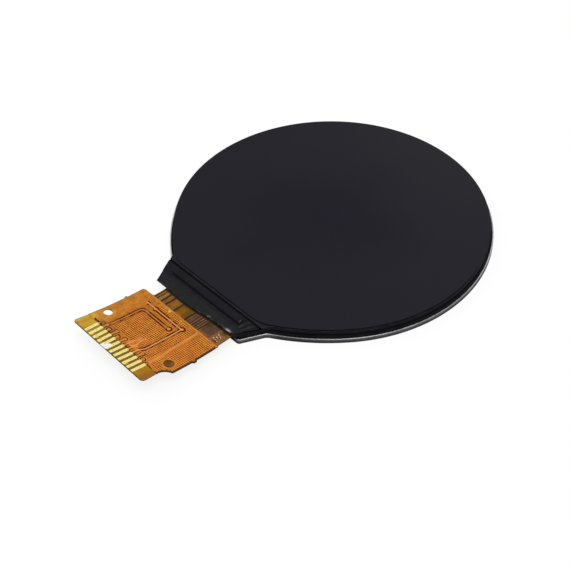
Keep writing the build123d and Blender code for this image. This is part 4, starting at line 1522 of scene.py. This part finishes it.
@dataclass(frozen=True)
class TrackPlan:
    """Copper on the tail's face: two tracks, pads, the gaps beside them and the woven plane.

    Places are x and reach on the flat tail. `track_pads` has each pad's middle and radius, `dark_flecks`
    each dark fleck's middle, half length and half height, `neck_gaps` each gap's x and width, and `woven`
    each hatched field's left, right, near and far edge, softness and strength. `arch` holds how near
    and how far from a lead-in the dark line round it runs, `merged` the left, right and far edge of
    the place where it is left out, `rear_ring` the radius and half width of the rear pads' outline,
    and `joint_shade` the half length and half height of the painted shade between the solder joints.
    """

    contacts: Contacts
    half_track: float = 0.085
    gap: float = 0.18
    neck_end: float = 2.06
    track_pads: tuple[Triple, ...] = ((0.82, 4.15, 0.2), (1.77, 3.17, 0.19), (-2.42, 3.23, 0.17))
    patches: tuple[Path, ...] = (
        ((0.05, 9.0), (0.05, 8.3), (0.2, 7.7), (0.15, 7.3)),
        ((0.72, 9.0), (0.66, 8.2), (0.5, 7.6), (0.6, 7.0)),
        ((0.35, 8.9), (0.9, 8.5)),
    )
    stripe: Path = ((3.2, 2.35), (3.27, 4.5), (3.36, 6.4), (3.52, 7.3), (3.52, 9.25))
    rear_pads: Path = (
        (-4.42, 2.44), (-3.18, 2.42), (-1.2, 2.4), (0.65, 2.42), (2.1, 2.42), (3.12, 2.36), (5.5, 2.4)
    )
    # Dark flecks on the film near the fingers' lead-ins.
    dark_flecks: tuple[tuple[float, ...], ...] = (
        (-4.66, 9.22, 0.34, 0.12), (4.1, 9.37, 0.38, 0.07), (-3.84, 9.34, 0.12, 0.12),
        (-2.42, 9.36, 0.12, 0.1), (0.36, 9.36, 0.12, 0.1), (1.74, 9.36, 0.1, 0.1),
        (-2.8, 8.84, 0.16, 0.06), (-1.42, 8.84, 0.2, 0.07),
    )
    joints: Path = ((5.16, 0.98), (5.1, 1.3), (5.14, 1.62))
    # Middles of the painted shade between the solder joints.
    joint_shade_spots: Path = ((5.26, 1.14), (5.0, 1.45), (5.3, 1.78))
    neck_gaps: Path = (
        (-3.98, 0.15), (-3.64, 0.13), (-3.01, 0.22), (-2.28, 0.21), (-1.0, 0.2), (0.8, 0.22), (1.16, 0.07),
        (1.38, 0.06), (1.6, 0.08), (1.9, 0.17), (2.23, 0.13), (2.52, 0.1), (2.8, 0.13),
    )
    woven: tuple[tuple[float, ...], ...] = (
        (-2.98, 1.32, 4.56, 8.35, 0.06, 1.0), (-2.8, 1.36, 3.5, 3.9, 0.06, 0.4),
        (-3.9, 1.9, 2.56, 2.9, 0.06, 0.6), (-0.6, 3.4, 2.26, 2.9, 0.06, 0.8),
        (2.08, 3.06, 2.7, 9.2, 0.06, 1.0), (3.62, 5.92, 2.24, 9.1, 0.06, 1.0),
        (-5.6, -3.72, 2.5, 6.6, 0.3, 0.3),
    )
    closed_hole: Pair = (4.85, 7.5)
    track_end: float = 8.5
    arch: Pair = (0.01, 0.11)
    arch_start: float = 8.2
    merged: Triple = (-0.3, 1.25, 8.95)
    contact_pad: float = 0.2
    contact_dot: float = 0.06
    rear_pad: float = 0.15
    rear_ring: Pair = (0.2, 0.012)
    joint_shade: Pair = (0.2, 0.07)
    rise: float = 0.018
    crown: float = 0.008
    dip: float = 0.008

    def tracks(self) -> list[Array]:
        """Centre lines of the two tracks, with rounded corners.

        Returns:
            The inner and the outer one, as open paths in x and reach.
        """
        start, end = self.contacts.x(1), self.contacts.x(8)
        inner = [(start, 8.75, 0), (-3.35, 8.3, 0.2), (-3.34, 4.2, 0.5), (0.8, 4.2, 0)]
        outer = [(-3.76, 3.22, 0), (1.71, 3.22, 0.16), (1.69, 8.05, 0.3), (end, 8.55, 0.2), (end, 9.4, 0)]
        return [softened(inner, closed=False), softened(outer, closed=False)]

    def within_spots(self, x: Array, s: Array, spots: tuple[Triple, ...]) -> Array:
        """How far inside the nearest of some round spots each place is, below 0 outside them."""
        return np.maximum.reduce([radius - np.hypot(x - px, s - ps) for px, ps, radius in spots])

    def to_track(self, x: Array, s: Array) -> Array:
        """Distance to the edge of the nearest track or pad, below 0 on the copper."""
        distance = np.minimum(*(to_path(x, s, path) for path in self.tracks())) - self.half_track
        return np.minimum(distance, -self.within_spots(x, s, self.track_pads))

    def to_contact(self, x: Array, s: Array) -> Array:
        """Distance to the edge of the nearest contact's lead-in or pad, below 0 on the copper.

        Args:
            x: distance to the right on the flat tail.
            s: reach on the flat tail.

        Returns:
            Millimetres.
        """
        distance = np.full(np.shape(x), 9.0)
        for number in range(self.contacts.count):
            middle = self.contacts.x(number)
            reach = self.contacts.pad_reach[number]
            bar = to_path(x, s, np.array([(middle, reach), (middle, 11.0)])) - self.contacts.lead_width / 2
            distance = np.minimum(distance, bar)
            if number in self.contacts.pads:
                distance = np.minimum(distance, np.hypot(x - middle, s - reach) - self.contact_pad)
        return distance

    def gaps(self, x: Array, s: Array) -> Array:
        """Above 0 within a gap between copper: the lesser distance to the gap's two edges.

        Args:
            x: distance to the right on the flat tail.
            s: reach on the flat tail.

        Returns:
            Millimetres, above 0 in a gap and below 0 on copper.
        """
        track = self.to_track(x, s)
        inwards = x + 3.86 - 0.25 * smooth(3.08, 3.38, s)
        beside = np.minimum.reduce([track, self.gap - track, inwards, self.track_end - s])
        lead = self.to_contact(x, s)
        near, far = self.arch
        beyond = 0.2 * np.abs(x - 1.0) + 0.5 * (s - 8.9)
        arch = np.minimum.reduce([lead - near, far - lead, s - self.arch_start, beyond])
        left, right, end = self.merged
        field = np.maximum(beside, np.where((s < end) & (x > left) & (x < right), -0.05, arch))
        reaches = self.contacts.pad_reach
        dots = tuple((self.contacts.x(n), reaches[n], self.contact_dot) for n in self.contacts.dots)
        field = np.maximum(field, self.within_spots(x, s, dots))
        radius, half = self.rear_ring
        for px, ps in self.rear_pads:
            field = np.maximum(field, half - np.abs(np.hypot(x - px, s - ps) - radius))
        for px, ps, long, high in self.dark_flecks:
            edge = 1 - np.hypot((x - px) / long, (s - ps - 0.04 * np.sin(9 * x)) / high)
            field = np.maximum(field, 0.06 * edge)
        return np.where(s > self.neck_end, field, self.in_neck_gap(x, s))

    def in_neck_gap(self, x: Array, s: Array) -> Array:
        """Above 0 within a gap between the neck's leads, or within the painted shade between the solder
        joints.

        Args:
            x: distance to the right on the flat tail.
            s: reach on the flat tail.

        Returns:
            Millimetres, below 0 elsewhere.
        """
        neck = np.full(np.shape(x), -1.0)
        for middle, width in self.neck_gaps:
            neck = np.maximum(neck, width / 2 - np.abs(x + 0.02 * np.sin(5 * s + 9 * middle) - middle))
        neck = np.minimum(neck, 0.5 * (s - self.tape_edge(x) - 0.3))
        # Painted shade between the solder joints.
        half, high = self.joint_shade
        for px, ps in self.joint_shade_spots:
            neck = np.maximum(neck, high - np.hypot(np.maximum(0, np.abs(x - px) - half), s - ps))
        return neck

    def tape_edge(self, x: Array) -> Array:
        """Reach of the ledge tape's front edge over the tail."""
        return -np.interp(x, *np.array(LedgeTape.front).T) - Curl.ledge_end

    def features(self, x: Array, s: Array) -> list[tuple[Array, float]]:
        """Each track, pad and bright stripe: how far inside its edge a place is, and how it gleams.

        Args:
            x: distance to the right on the flat tail.
            s: reach on the flat tail.

        Returns:
            Distances and gleam of each.
        """
        inner, outer = (self.half_track - to_path(x, s, path) for path in self.tracks())
        patches = [0.09 - to_path(x, s, np.array(path)) for path in self.patches]
        rear_pads = tuple((*place, self.rear_pad) for place in self.rear_pads)
        return [
            (inner, 0.16),
            (outer, 0.62),
            (self.within_spots(x, s, self.track_pads), 0.4),
            (-self.to_contact(x, s), 0.34),
            (0.13 - to_path(x, s, np.array(self.stripe)), 0.38),
            (self.within_spots(x, s, rear_pads), 0.25),
            (np.maximum.reduce(patches), 0.5),
            (0.05 - np.abs(s - 2.16), 0.3),
        ]

    def ridges(self, x: Array, s: Array) -> Array:
        """Above 0 on a track, pad or lead-in: how far inside its edge, in millimetres."""
        found = np.maximum.reduce([distance for distance, _ in self.features(x, s)])
        return np.where(s > self.neck_end, found, -0.2)

    def shine(self, x: Array, s: Array) -> Array:
        """How much each place gleams, from 0 to 1."""
        found = [gleam * smooth(-0.03, 0.05, distance) for distance, gleam in self.features(x, s)]
        return np.where(s > self.neck_end, np.maximum.reduce(found), 0)

    def weave(self, x: Array, s: Array) -> Array:
        """How strongly the plane is woven: 1 in its hatched fields, 0 where it is solid.

        Args:
            x: distance to the right on the flat tail.
            s: reach on the flat tail.

        Returns:
            Shares from 0 to 1.
        """
        field = np.maximum.reduce([in_box(x, s, *box) for box in self.woven])
        hole = np.hypot(x - self.closed_hole[0], s - self.closed_hole[1])
        solid = smooth(0.62, 0.86, hole) * smooth(0.0, -0.1, self.ridges(x, s))
        solid = solid * smooth(0.02, -0.03, self.gaps(x, s))
        fray = 0.85 + 0.15 * np.sin(3.1 * x + 1.0) * np.sin(2.3 * s)
        return field * solid * fray

    def relief(self, x: Array, s: Array) -> Array:
        """How far the cover film stands above its lowest level, in millimetres.

        Copper raises it by `rise`, a gap lets it sink back, a ridge's middle stands up by `crown`, and
        the woven fields sink at each opening by `dip` times (cos(2πx/p) + cos(2πs/q)) / 2 where that
        is above 0.

        Args:
            x: distance to the right on the flat tail.
            s: reach on the flat tail.

        Returns:
            Millimetres.
        """
        px, ps = CoverFilm.pitch
        lattice = (np.cos(2 * math.pi * x / px) + np.cos(2 * math.pi * s / ps)) / 2
        dips = self.dip * np.maximum(0, lattice) * self.weave(x, s)
        crown = self.crown * smooth(0.0, 0.1, self.ridges(x, s))
        slow = 0.003 * np.sin(1.9 * x + 0.7) * np.sin(1.4 * s) + 0.002 * np.sin(4.3 * x - 2.2 * s)
        return self.rise * smooth(0.03, -0.03, self.gaps(x, s)) + crown - dips + slow

    def tint(self, x: Array, s: Array) -> Array:
        """Slowly changing tone of the film, as a linear colour: named tones mixed by soft masks, among them
        painted shadows and painted shade.

        Args:
            x: distance to the right on the flat tail.
            s: reach on the flat tail.

        Returns:
            One colour for each place.
        """
        body = np.zeros((len(x), 3)) + FilmTone.ORANGE.colour
        amber = 0.8 * smooth(-3.6, -4.6, x) * smooth(4.5, 8.8, s) + 0.35 * smooth(-3.4, -4.4, x)
        body = mixed(body, FilmTone.AMBER.colour, amber)
        for wash in BODY_WASHES:
            body = wash.over(body, x, s)
        for px, ps, radius in FlexTail.hole_places:
            ring = 0.5 * bell(np.hypot(x - px, s - ps) - radius - 0.1, 0.12)
            body = mixed(body, FilmTone.GILT.colour, ring)
        neck = np.zeros((len(x), 3)) + FilmTone.UMBER.colour
        for wash in NECK_WASHES:
            neck = wash.over(neck, x, s)
        # Painted shadow under the ledge tape's front edge.
        neck = mixed(neck, FilmTone.TAPE_EDGE_SHADOW.colour, 0.92 * smooth(0.38, 0.22, s - self.tape_edge(x)))
        return mixed(body, neck, smooth(self.neck_end + 0.03, self.neck_end - 0.03, s))


@dataclass(frozen=True)
class FilmMesh:
    """Mesh of one film of the tail, and where each of its vertices lies on the flat tail."""

    places: Array
    faces: list
    kinds: Array
    x: Array
    s: Array


@dataclass
class FlexTail:
    """Bent tail: base film, cover film with the copper under it, back film, fingers and joints."""

    curl: Curl = field(default_factory=Curl)
    contacts: Contacts = field(default_factory=Contacts)
    bond: float = 1.1
    tip: float = 11.36
    base: Pair = (1.21, 1.24)
    cover: Pair = (1.26, 1.262)
    back: Pair = (1.16, 1.19)
    finger_top: float = 1.262
    joint_halves: tuple[float, ...] = (0.33, 0.18, 0.29)
    joint_leans: tuple[float, ...] = (0.3, -0.1, 0.16)
    joint_dome: Path = (
        (1.0, 1.19), (1.0, 1.285), (0.97, 1.31), (0.85, 1.338), (0.6, 1.36), (0.3, 1.37),
    )
    hole_places: tuple[Triple, ...] = ((-5.0, 7.46, 0.49), (4.84, 7.48, 0.57))
    left_edge: tuple[tuple[float, ...], tuple[float, ...]] = ((2.08, 4.28, 9.4), (-5.74, -5.79, -5.86))
    limes: tuple[Triple, ...] = (
        (-3.1, 11.0, 0.25), (-2.4, 10.9, 0.2), (-1.7, 11.05, 0.15), (2.4, 11.0, 0.2)
    )
    window_places: tuple[float, ...] = (-2.7, -0.9, 0.9, 2.7)
    window_half: float = 0.35
    window_reach: Pair = (4.64, 6.16)
    pinhole_reach: Pair = (10.86, 10.22)
    pinhole: float = 0.055
    pinhole_depth: float = 0.012
    finger_crown: float = 0.006
    joint_radius: float = 0.1

    def __post_init__(self) -> None:
        """Lays out the copper."""
        self.plan = TrackPlan(self.contacts)

    def outline(self, start: float, end: float) -> Array:
        """Tail's outline between two reaches, with its notch and the stubs of its broken-off tabs.

        Args:
            start: least reach.
            end: greatest reach.

        Returns:
            A closed path in x and -reach, anticlockwise.
        """
        notch = arc((6.61, -9.31), 1.4, 112, 180, 17)
        tip = [(-5.86, -end, 0.42 if end > 11 else 0), (5.38, -end, 0.42 if end > 11 else 0)]
        right = [(*p, 0) for p in notch[::-1] if -p[1] < end - 0.4]
        right += [(6.1, -5.5, 0.06), (6.28, -5.38, 0.1), (6.28, -5.0, 0.1), (6.1, -4.9, 0.06)]
        right += [(6.08, -2.0, 0.12), (5.95, -1.92, 0.1), (5.93, -start, 0)]
        left = [(-4.18, -start, 0), (-4.18, -2.08, 0.26), (-5.74, -2.08, 0.34)]
        left += [(-5.78, -4.28, 0.04), (-5.94, -4.34, 0.07), (-5.94, -4.58, 0.07), (-5.8, -4.64, 0.04)]
        return resampled(softened([*tip, *right, *left], steps=7), 0.14)

    def holes(self) -> list[Array]:
        """The two locating holes as closed paths in x and -reach."""
        return [arc((x, -reach), radius, 0, 352.5, 48) for x, reach, radius in self.hole_places]

    def window(self, x: float) -> Array:
        """Back film's window over one capacitor.

        Args:
            x: X of its middle.

        Returns:
            A closed path in x and -reach, anticlockwise.
        """
        half = self.window_half
        near, far = self.window_reach
        corners = ((x - half, -far), (x + half, -far), (x + half, -near), (x - half, -near))
        return resampled(softened([(*corner, 0.08) for corner in corners], steps=5), 0.2)

    def film(
        self, outline: Array, holes: list[Array], pitch: Pair, low: float, high: Field | float
    ) -> FilmMesh:
        """Works out one film of the tail between two heights; the upper may be a function of place.

        Args:
            outline: closed path in x and -reach.
            holes: closed paths cut out of it.
            pitch: step of the points inside.
            low: lower face's height.
            high: upper face's height.

        Returns:
            The film's mesh.
        """
        points, triangles = triangulated(outline, holes, pitch)
        x, s = points[:, 0], -points[:, 1]
        heights = high(x, s) if callable(high) else np.full(len(x), high)
        top = np.column_stack([x, s, heights])
        bottom = np.column_stack([x, s, np.full(len(x), low)])
        flat, faces, kinds = sheet(triangles, top, bottom)
        return FilmMesh(self.curl.place(*flat.T), faces, kinds, flat[:, 0], flat[:, 1])

    def tip_tint(self, x: Array, s: Array) -> Array:
        """Tone of the bare film: mustard at the left, brown at the right, olive between the fingers, with
        painted shade along its tip and left edge and a painted white glare at the tip.

        Args:
            x: distance to the right on the flat tail.
            s: reach on the flat tail.

        Returns:
            One linear colour for each place.
        """
        first, last = self.contacts.x(0), self.contacts.x(self.contacts.count - 1)
        half = self.contacts.width / 2
        out = np.zeros((len(x), 3)) + FilmTone.MUSTARD.colour
        out = mixed(out, FilmTone.STRIPE.colour, smooth(-5.6, -5.4, x) * smooth(-4.9, -5.1, x))
        out = mixed(out, FilmTone.SAND.colour, smooth(-5.0, -4.8, x))
        right = mixed(FilmTone.BROWN.colour, FilmTone.RUST.colour, smooth(4.2, 4.9, x))
        out = mixed(out, right, smooth(last, last + half + 0.1, x))
        row = smooth(first - half - 0.05, first - half + 0.05, x)
        row = row * smooth(last + half + 0.05, last + half - 0.05, x)
        gap = mixed(FilmTone.REED.colour, FilmTone.FERN.colour, smooth(-3.8, -1.5, x))
        out = mixed(out, gap, row)
        lime = sum(bell(x - px, 0.1) * bell(s - ps, high) for px, ps, high in self.limes)
        out = mixed(out, FilmTone.LIME.colour, np.clip(lime, 0, 1))
        # Painted shade along the tip's edge and the left edge.
        edge = np.maximum(smooth(self.tip - 0.1, self.tip - 0.04, s), smooth(-5.74, -5.82, x))
        out = mixed(out, FilmTone.EDGE_SHADE.colour, 0.85 * edge)
        # Painted white glare at the tip.
        return mixed(out, np.ones(3), self.contacts.glare_spot(x, s))

    def cover_film(self, finishes: Finishes) -> None:
        """Makes the cover film, whose face follows the copper under it.

        Args:
            finishes: where its finishes come from.
        """

        def face(x: Array, s: Array) -> Array:
            """Height of the film's face."""
            return self.cover[1] + self.plan.relief(x, s)

        pitch = tuple(p / 4 for p in CoverFilm.pitch)
        shape = self.outline(-self.bond, self.contacts.start - 0.01)
        made = self.film(shape, self.holes(), pitch, self.cover[0], face)
        x, s = made.x, made.s
        marks = {
            "flat": np.column_stack([x, s, 0 * x]),
            "gap": self.plan.gaps(x, s),
            "shine": self.plan.shine(x, s),
            "weave": self.plan.weave(x, s),
            "tint": self.plan.tint(x, s),
            # Where the painted shade band lies along the tail's right edge.
            "rim": smooth(0.22, 0.15, to_path(x, -s, shape[shape[:, 0] > 5.0])) * smooth(2.2, 2.5, s),
            "lip": 0.8 * smooth(0.17, 0.06, x - np.interp(s, *self.left_edge)),
        }
        piece(
            "tail_cover", made.places, made.faces, [finishes.cover, finishes.film_edge],
            ["tail_front_coverlay"], Slot.FLEX.value, (made.kinds > 0).astype(int), marks,
        )

    def plain_films(self, finishes: Finishes) -> None:
        """Makes the base film and the back film; the back film stays whole under the right hole, where its
        brown face is painted shade.

        Args:
            finishes: where their finishes come from.
        """
        shape = self.outline(-self.bond, self.tip)
        made = self.film(shape, self.holes(), (0.08, 0.1), *self.base)
        piece(
            "tail_base", made.places, made.faces, [finishes.by_slot[Slot.BASE], finishes.film_edge],
            ["tail_base_film"], Slot.BASE.value, (made.kinds == 2).astype(int),
            {"tint": self.tip_tint(made.x, made.s)},
        )
        shape = self.outline(0.33, self.tip)
        # The right hole is left out of the back film, so that its brown face fills that hole as painted
        # shade.
        cuts = [self.holes()[0], *(self.window(x) for x in self.window_places)]
        made = self.film(shape, cuts, (0.22, 0.22), *self.back)
        looks = [finishes.hole_shade_film, finishes.by_slot[Slot.FLEX], finishes.film_edge]
        piece(
            "tail_back", made.places, made.faces, looks,
            ["tail_back_coverlay"], Slot.FLEX.value, made.kinds,
        )

    def finger(self, number: int, finishes: Finishes) -> None:
        """Makes one contact finger.

        Its face crowns by 1 - (2 d / w)² across its width, and a pinhole of radius p dips as
        exp(-(r / p)²).

        Args:
            number: counted from 0 on the left.
            finishes: where its finish comes from.
        """
        x = self.contacts.x(number)
        half = self.contacts.width / 2
        lead = self.contacts.lead_width / 2
        start, end = self.contacts.start, self.contacts.end
        lean = float(self.contacts.middle_line(number, end)) - x
        corners = [
            (x + lean - half, -end, 0.04), (x + lean + half, -end, 0.04),
            (x + half, -start, 0.03), (x + lead, -start, 0.02),
            (x + lead, -start + 0.4, 0.03), (x - lead, -start + 0.4, 0.03),
            (x - lead, -start, 0.02), (x - half, -start, 0.03),
        ]
        pin_reach = self.pinhole_reach[number % 2]
        pin = float(self.contacts.middle_line(number, pin_reach))

        def dip(px: Array, ps: Array) -> Array:
            """Depth share of the pinhole."""
            return bell(np.hypot(px - pin, ps - pin_reach), self.pinhole)

        def face(px: Array, ps: Array) -> Array:
            """Height of the finger's face.

            Args:
                px: distance to the right on the flat tail.
                ps: reach on the flat tail.

            Returns:
                Millimetres.
            """
            across = px - self.contacts.middle_line(number, ps)
            slope = np.clip(2 * np.abs(across) / self.contacts.width, 0, 1) ** 2
            wave = 0.0015 * np.sin(9 * ps + 2 * number)
            return self.finger_top - self.finger_crown * slope - self.pinhole_depth * dip(px, ps) + wave

        shape = resampled(softened(corners, steps=4), 0.06)
        made = self.film(shape, [], (0.04, 0.05), self.base[1], face)
        # Share of the painted white glare on this finger, which hides the pinhole there.
        painted_glare = self.contacts.glare_spot(made.x, made.s)
        marks = {"pin": dip(made.x, made.s) * (1 - painted_glare), "painted_glare": painted_glare}
        piece(
            f"finger_{number + 1:02d}", made.places, made.faces, [finishes.by_slot[Slot.GOLD]],
            [f"contact_{number + 1:02d}"], Slot.GOLD.value, marks=marks,
        )

    def joint(self, number: int, finishes: Finishes) -> None:
        """Makes one solder joint: a low dome over a rounded bar.

        `joint_dome` holds the share of the bar's radius, and the height, of each ring of its skin.

        Args:
            number: counted from 0 at the ledge.
            finishes: where its finish comes from.
        """
        middle, reach = self.plan.joints[number]
        half, lean = self.joint_halves[number], self.joint_leans[number]
        around = np.concatenate([arc((half, 0), 1, -90, 90, 13), arc((-half, 0), 1, 90, 270, 13)])
        centre = np.where(around[:, :1] > 0, [[half, 0]], [[-half, 0]])
        rings = []
        for share, height in self.joint_dome:
            across, up = (centre + (around - centre) * self.joint_radius * share).T
            rings.append(self.curl.place(middle + across, reach - up + lean * across, height))
        places, faces = carried(rings)
        solder = finishes.by_slot[Slot.SOLDER]
        name = f"backlight_solder_{number + 1}"
        piece(f"joint_{number + 1}", places, faces, [solder], [name], Slot.SOLDER.value)

    def build(self, finishes: Finishes) -> None:
        """Makes the tail's pieces.

        Args:
            finishes: where their finishes come from.
        """
        self.plain_films(finishes)
        self.cover_film(finishes)
        for number in range(self.contacts.count):
            self.finger(number, finishes)
        for number in range(len(self.plan.joints)):
            self.joint(number, finishes)


# Stage


@dataclass(frozen=True)
class Stage:
    """Pale floor, white surroundings, soft lamps and the camera."""

    azimuth: float = 0.8347499
    elevation: float = 0.7584469
    roll: float = -0.0154981
    distance: float = 168.5447
    target: Triple = (3.09679, -9.97218, 0.0)
    focal_pixels: float = 1578.158
    picture: int = 570
    sensor: float = 36.0
    floor_size: float = 3.0
    floor_tone: float = 0.2
    floor_glow: float = 0.82
    floor_drop: float = 1e-5
    world_light: float = 0.42
    aim: Triple = (0.0, -0.008, 0.0)
    lamps: tuple[tuple[str, Triple, float, float], ...] = (
        ("key_lamp", (0.35, -0.25, 0.95), 0.7, 5.9),
        ("fill_lamp", (-0.7, -0.2, 0.6), 0.7, 1.4),
        ("glint_lamp", (-0.22, 0.32, 0.2), 0.1, 0.06),
    )

    def camera(self) -> None:
        """Places the camera: it looks back along (sin a cos e, -cos a cos e, sin e) at its target."""
        a, e = self.azimuth, self.elevation
        back = Vector((math.sin(a) * math.cos(e), -math.cos(a) * math.cos(e), math.sin(e)))
        right = Vector((math.cos(a), math.sin(a), 0))
        up = back.cross(right)
        turn = math.cos(self.roll), math.sin(self.roll)
        axes = (right * turn[0] + up * turn[1], up * turn[0] - right * turn[1], back)
        data = bpy.data.cameras.new("photo_camera")
        data.sensor_width = self.sensor
        data.lens = self.focal_pixels / self.picture * self.sensor
        data.clip_start, data.clip_end = 0.005, 20
        camera = bpy.data.objects.new("photo_camera", data)
        place = (Vector(self.target) + back * self.distance) * MM
        camera.matrix_world = Matrix.Translation(place) @ Matrix(axes).transposed().to_4x4()
        bpy.context.scene.collection.objects.link(camera)
        bpy.context.scene.camera = camera

    def floor(self) -> None:
        """Lays a pale floor just under the case. It keeps the module's shadow and looks white."""
        half = self.floor_size / 2
        mesh = bpy.data.meshes.new("floor")
        corners = ((-half, -half), (half, -half), (half, half), (-half, half))
        mesh.from_pydata([(*corner, -self.floor_drop) for corner in corners], [], [(0, 1, 2, 3)])
        floor = bpy.data.objects.new("floor", mesh)
        bpy.context.scene.collection.objects.link(floor)
        material = bpy.data.materials.new("pale_floor")
        material.use_nodes = True
        tree = material.node_tree
        shader = tree.nodes["Principled BSDF"]
        shader.inputs["Base Color"].default_value = (self.floor_tone,) * 3 + (1,)
        shader.inputs["Roughness"].default_value = 0.9
        shader.inputs["Specular IOR Level"].default_value = 0.0
        rays = tree.nodes.new("ShaderNodeLightPath")
        glow = tree.nodes.new("ShaderNodeMath")
        glow.operation = "MULTIPLY"
        glow.inputs[1].default_value = self.floor_glow
        tree.links.new(rays.outputs["Is Camera Ray"], glow.inputs[0])
        shader.inputs["Emission Color"].default_value = (1, 1, 1, 1)
        tree.links.new(glow.outputs[0], shader.inputs["Emission Strength"])
        mesh.materials.append(material)

    def world(self) -> None:
        """Surrounds the stage with plain light that the camera sees as white, also through clear parts."""
        world = bpy.data.worlds.new("plain_surroundings")
        bpy.context.scene.world = world
        world.use_nodes = True
        tree = world.node_tree
        background = tree.nodes["Background"]
        background.inputs["Color"].default_value = (1, 1, 1, 1)
        rays = tree.nodes.new("ShaderNodeLightPath")
        seen = tree.nodes.new("ShaderNodeMath")
        seen.operation = "MAXIMUM"
        tree.links.new(rays.outputs["Is Camera Ray"], seen.inputs[0])
        tree.links.new(rays.outputs["Is Transmission Ray"], seen.inputs[1])
        strength = tree.nodes.new("ShaderNodeMapRange")
        strength.inputs["To Min"].default_value = self.world_light
        strength.inputs["To Max"].default_value = 1.0
        tree.links.new(seen.outputs[0], strength.inputs["Value"])
        tree.links.new(strength.outputs[0], background.inputs["Strength"])

    def lamp(self, name: str, place: Triple, size: float, power: float) -> None:
        """Hangs a soft square lamp that faces the module.

        Args:
            name: the lamp's name.
            place: where it hangs, in metres.
            size: length of its side in metres.
            power: its power in watts.
        """
        data = bpy.data.lights.new(name, "AREA")
        data.size = size
        data.energy = power
        lamp = bpy.data.objects.new(name, data)
        lamp.location = place
        lamp.rotation_mode = "QUATERNION"
        lamp.rotation_quaternion = (Vector(place) - Vector(self.aim)).to_track_quat("Z", "Y")
        bpy.context.scene.collection.objects.link(lamp)

    def build(self) -> None:
        """Sets the stage."""
        bpy.context.scene.view_settings.view_transform = "Standard"
        self.camera()
        self.floor()
        self.world()
        for lamp in self.lamps:
            self.lamp(*lamp)


def main() -> None:
    """Builds the module's pieces in order, then the stage."""
    logging.basicConfig(level=logging.INFO, format="%(name)s: %(message)s")
    finishes = Finishes()
    finishes.dress_nodes(frame["nodes"], frame["record"])
    SteelCase().build(finishes)
    Panel().build(finishes)
    LedgeTape().build(finishes)
    FlexTail().build(finishes)
    Stage().build()


if __name__ == "__main__":
    main()
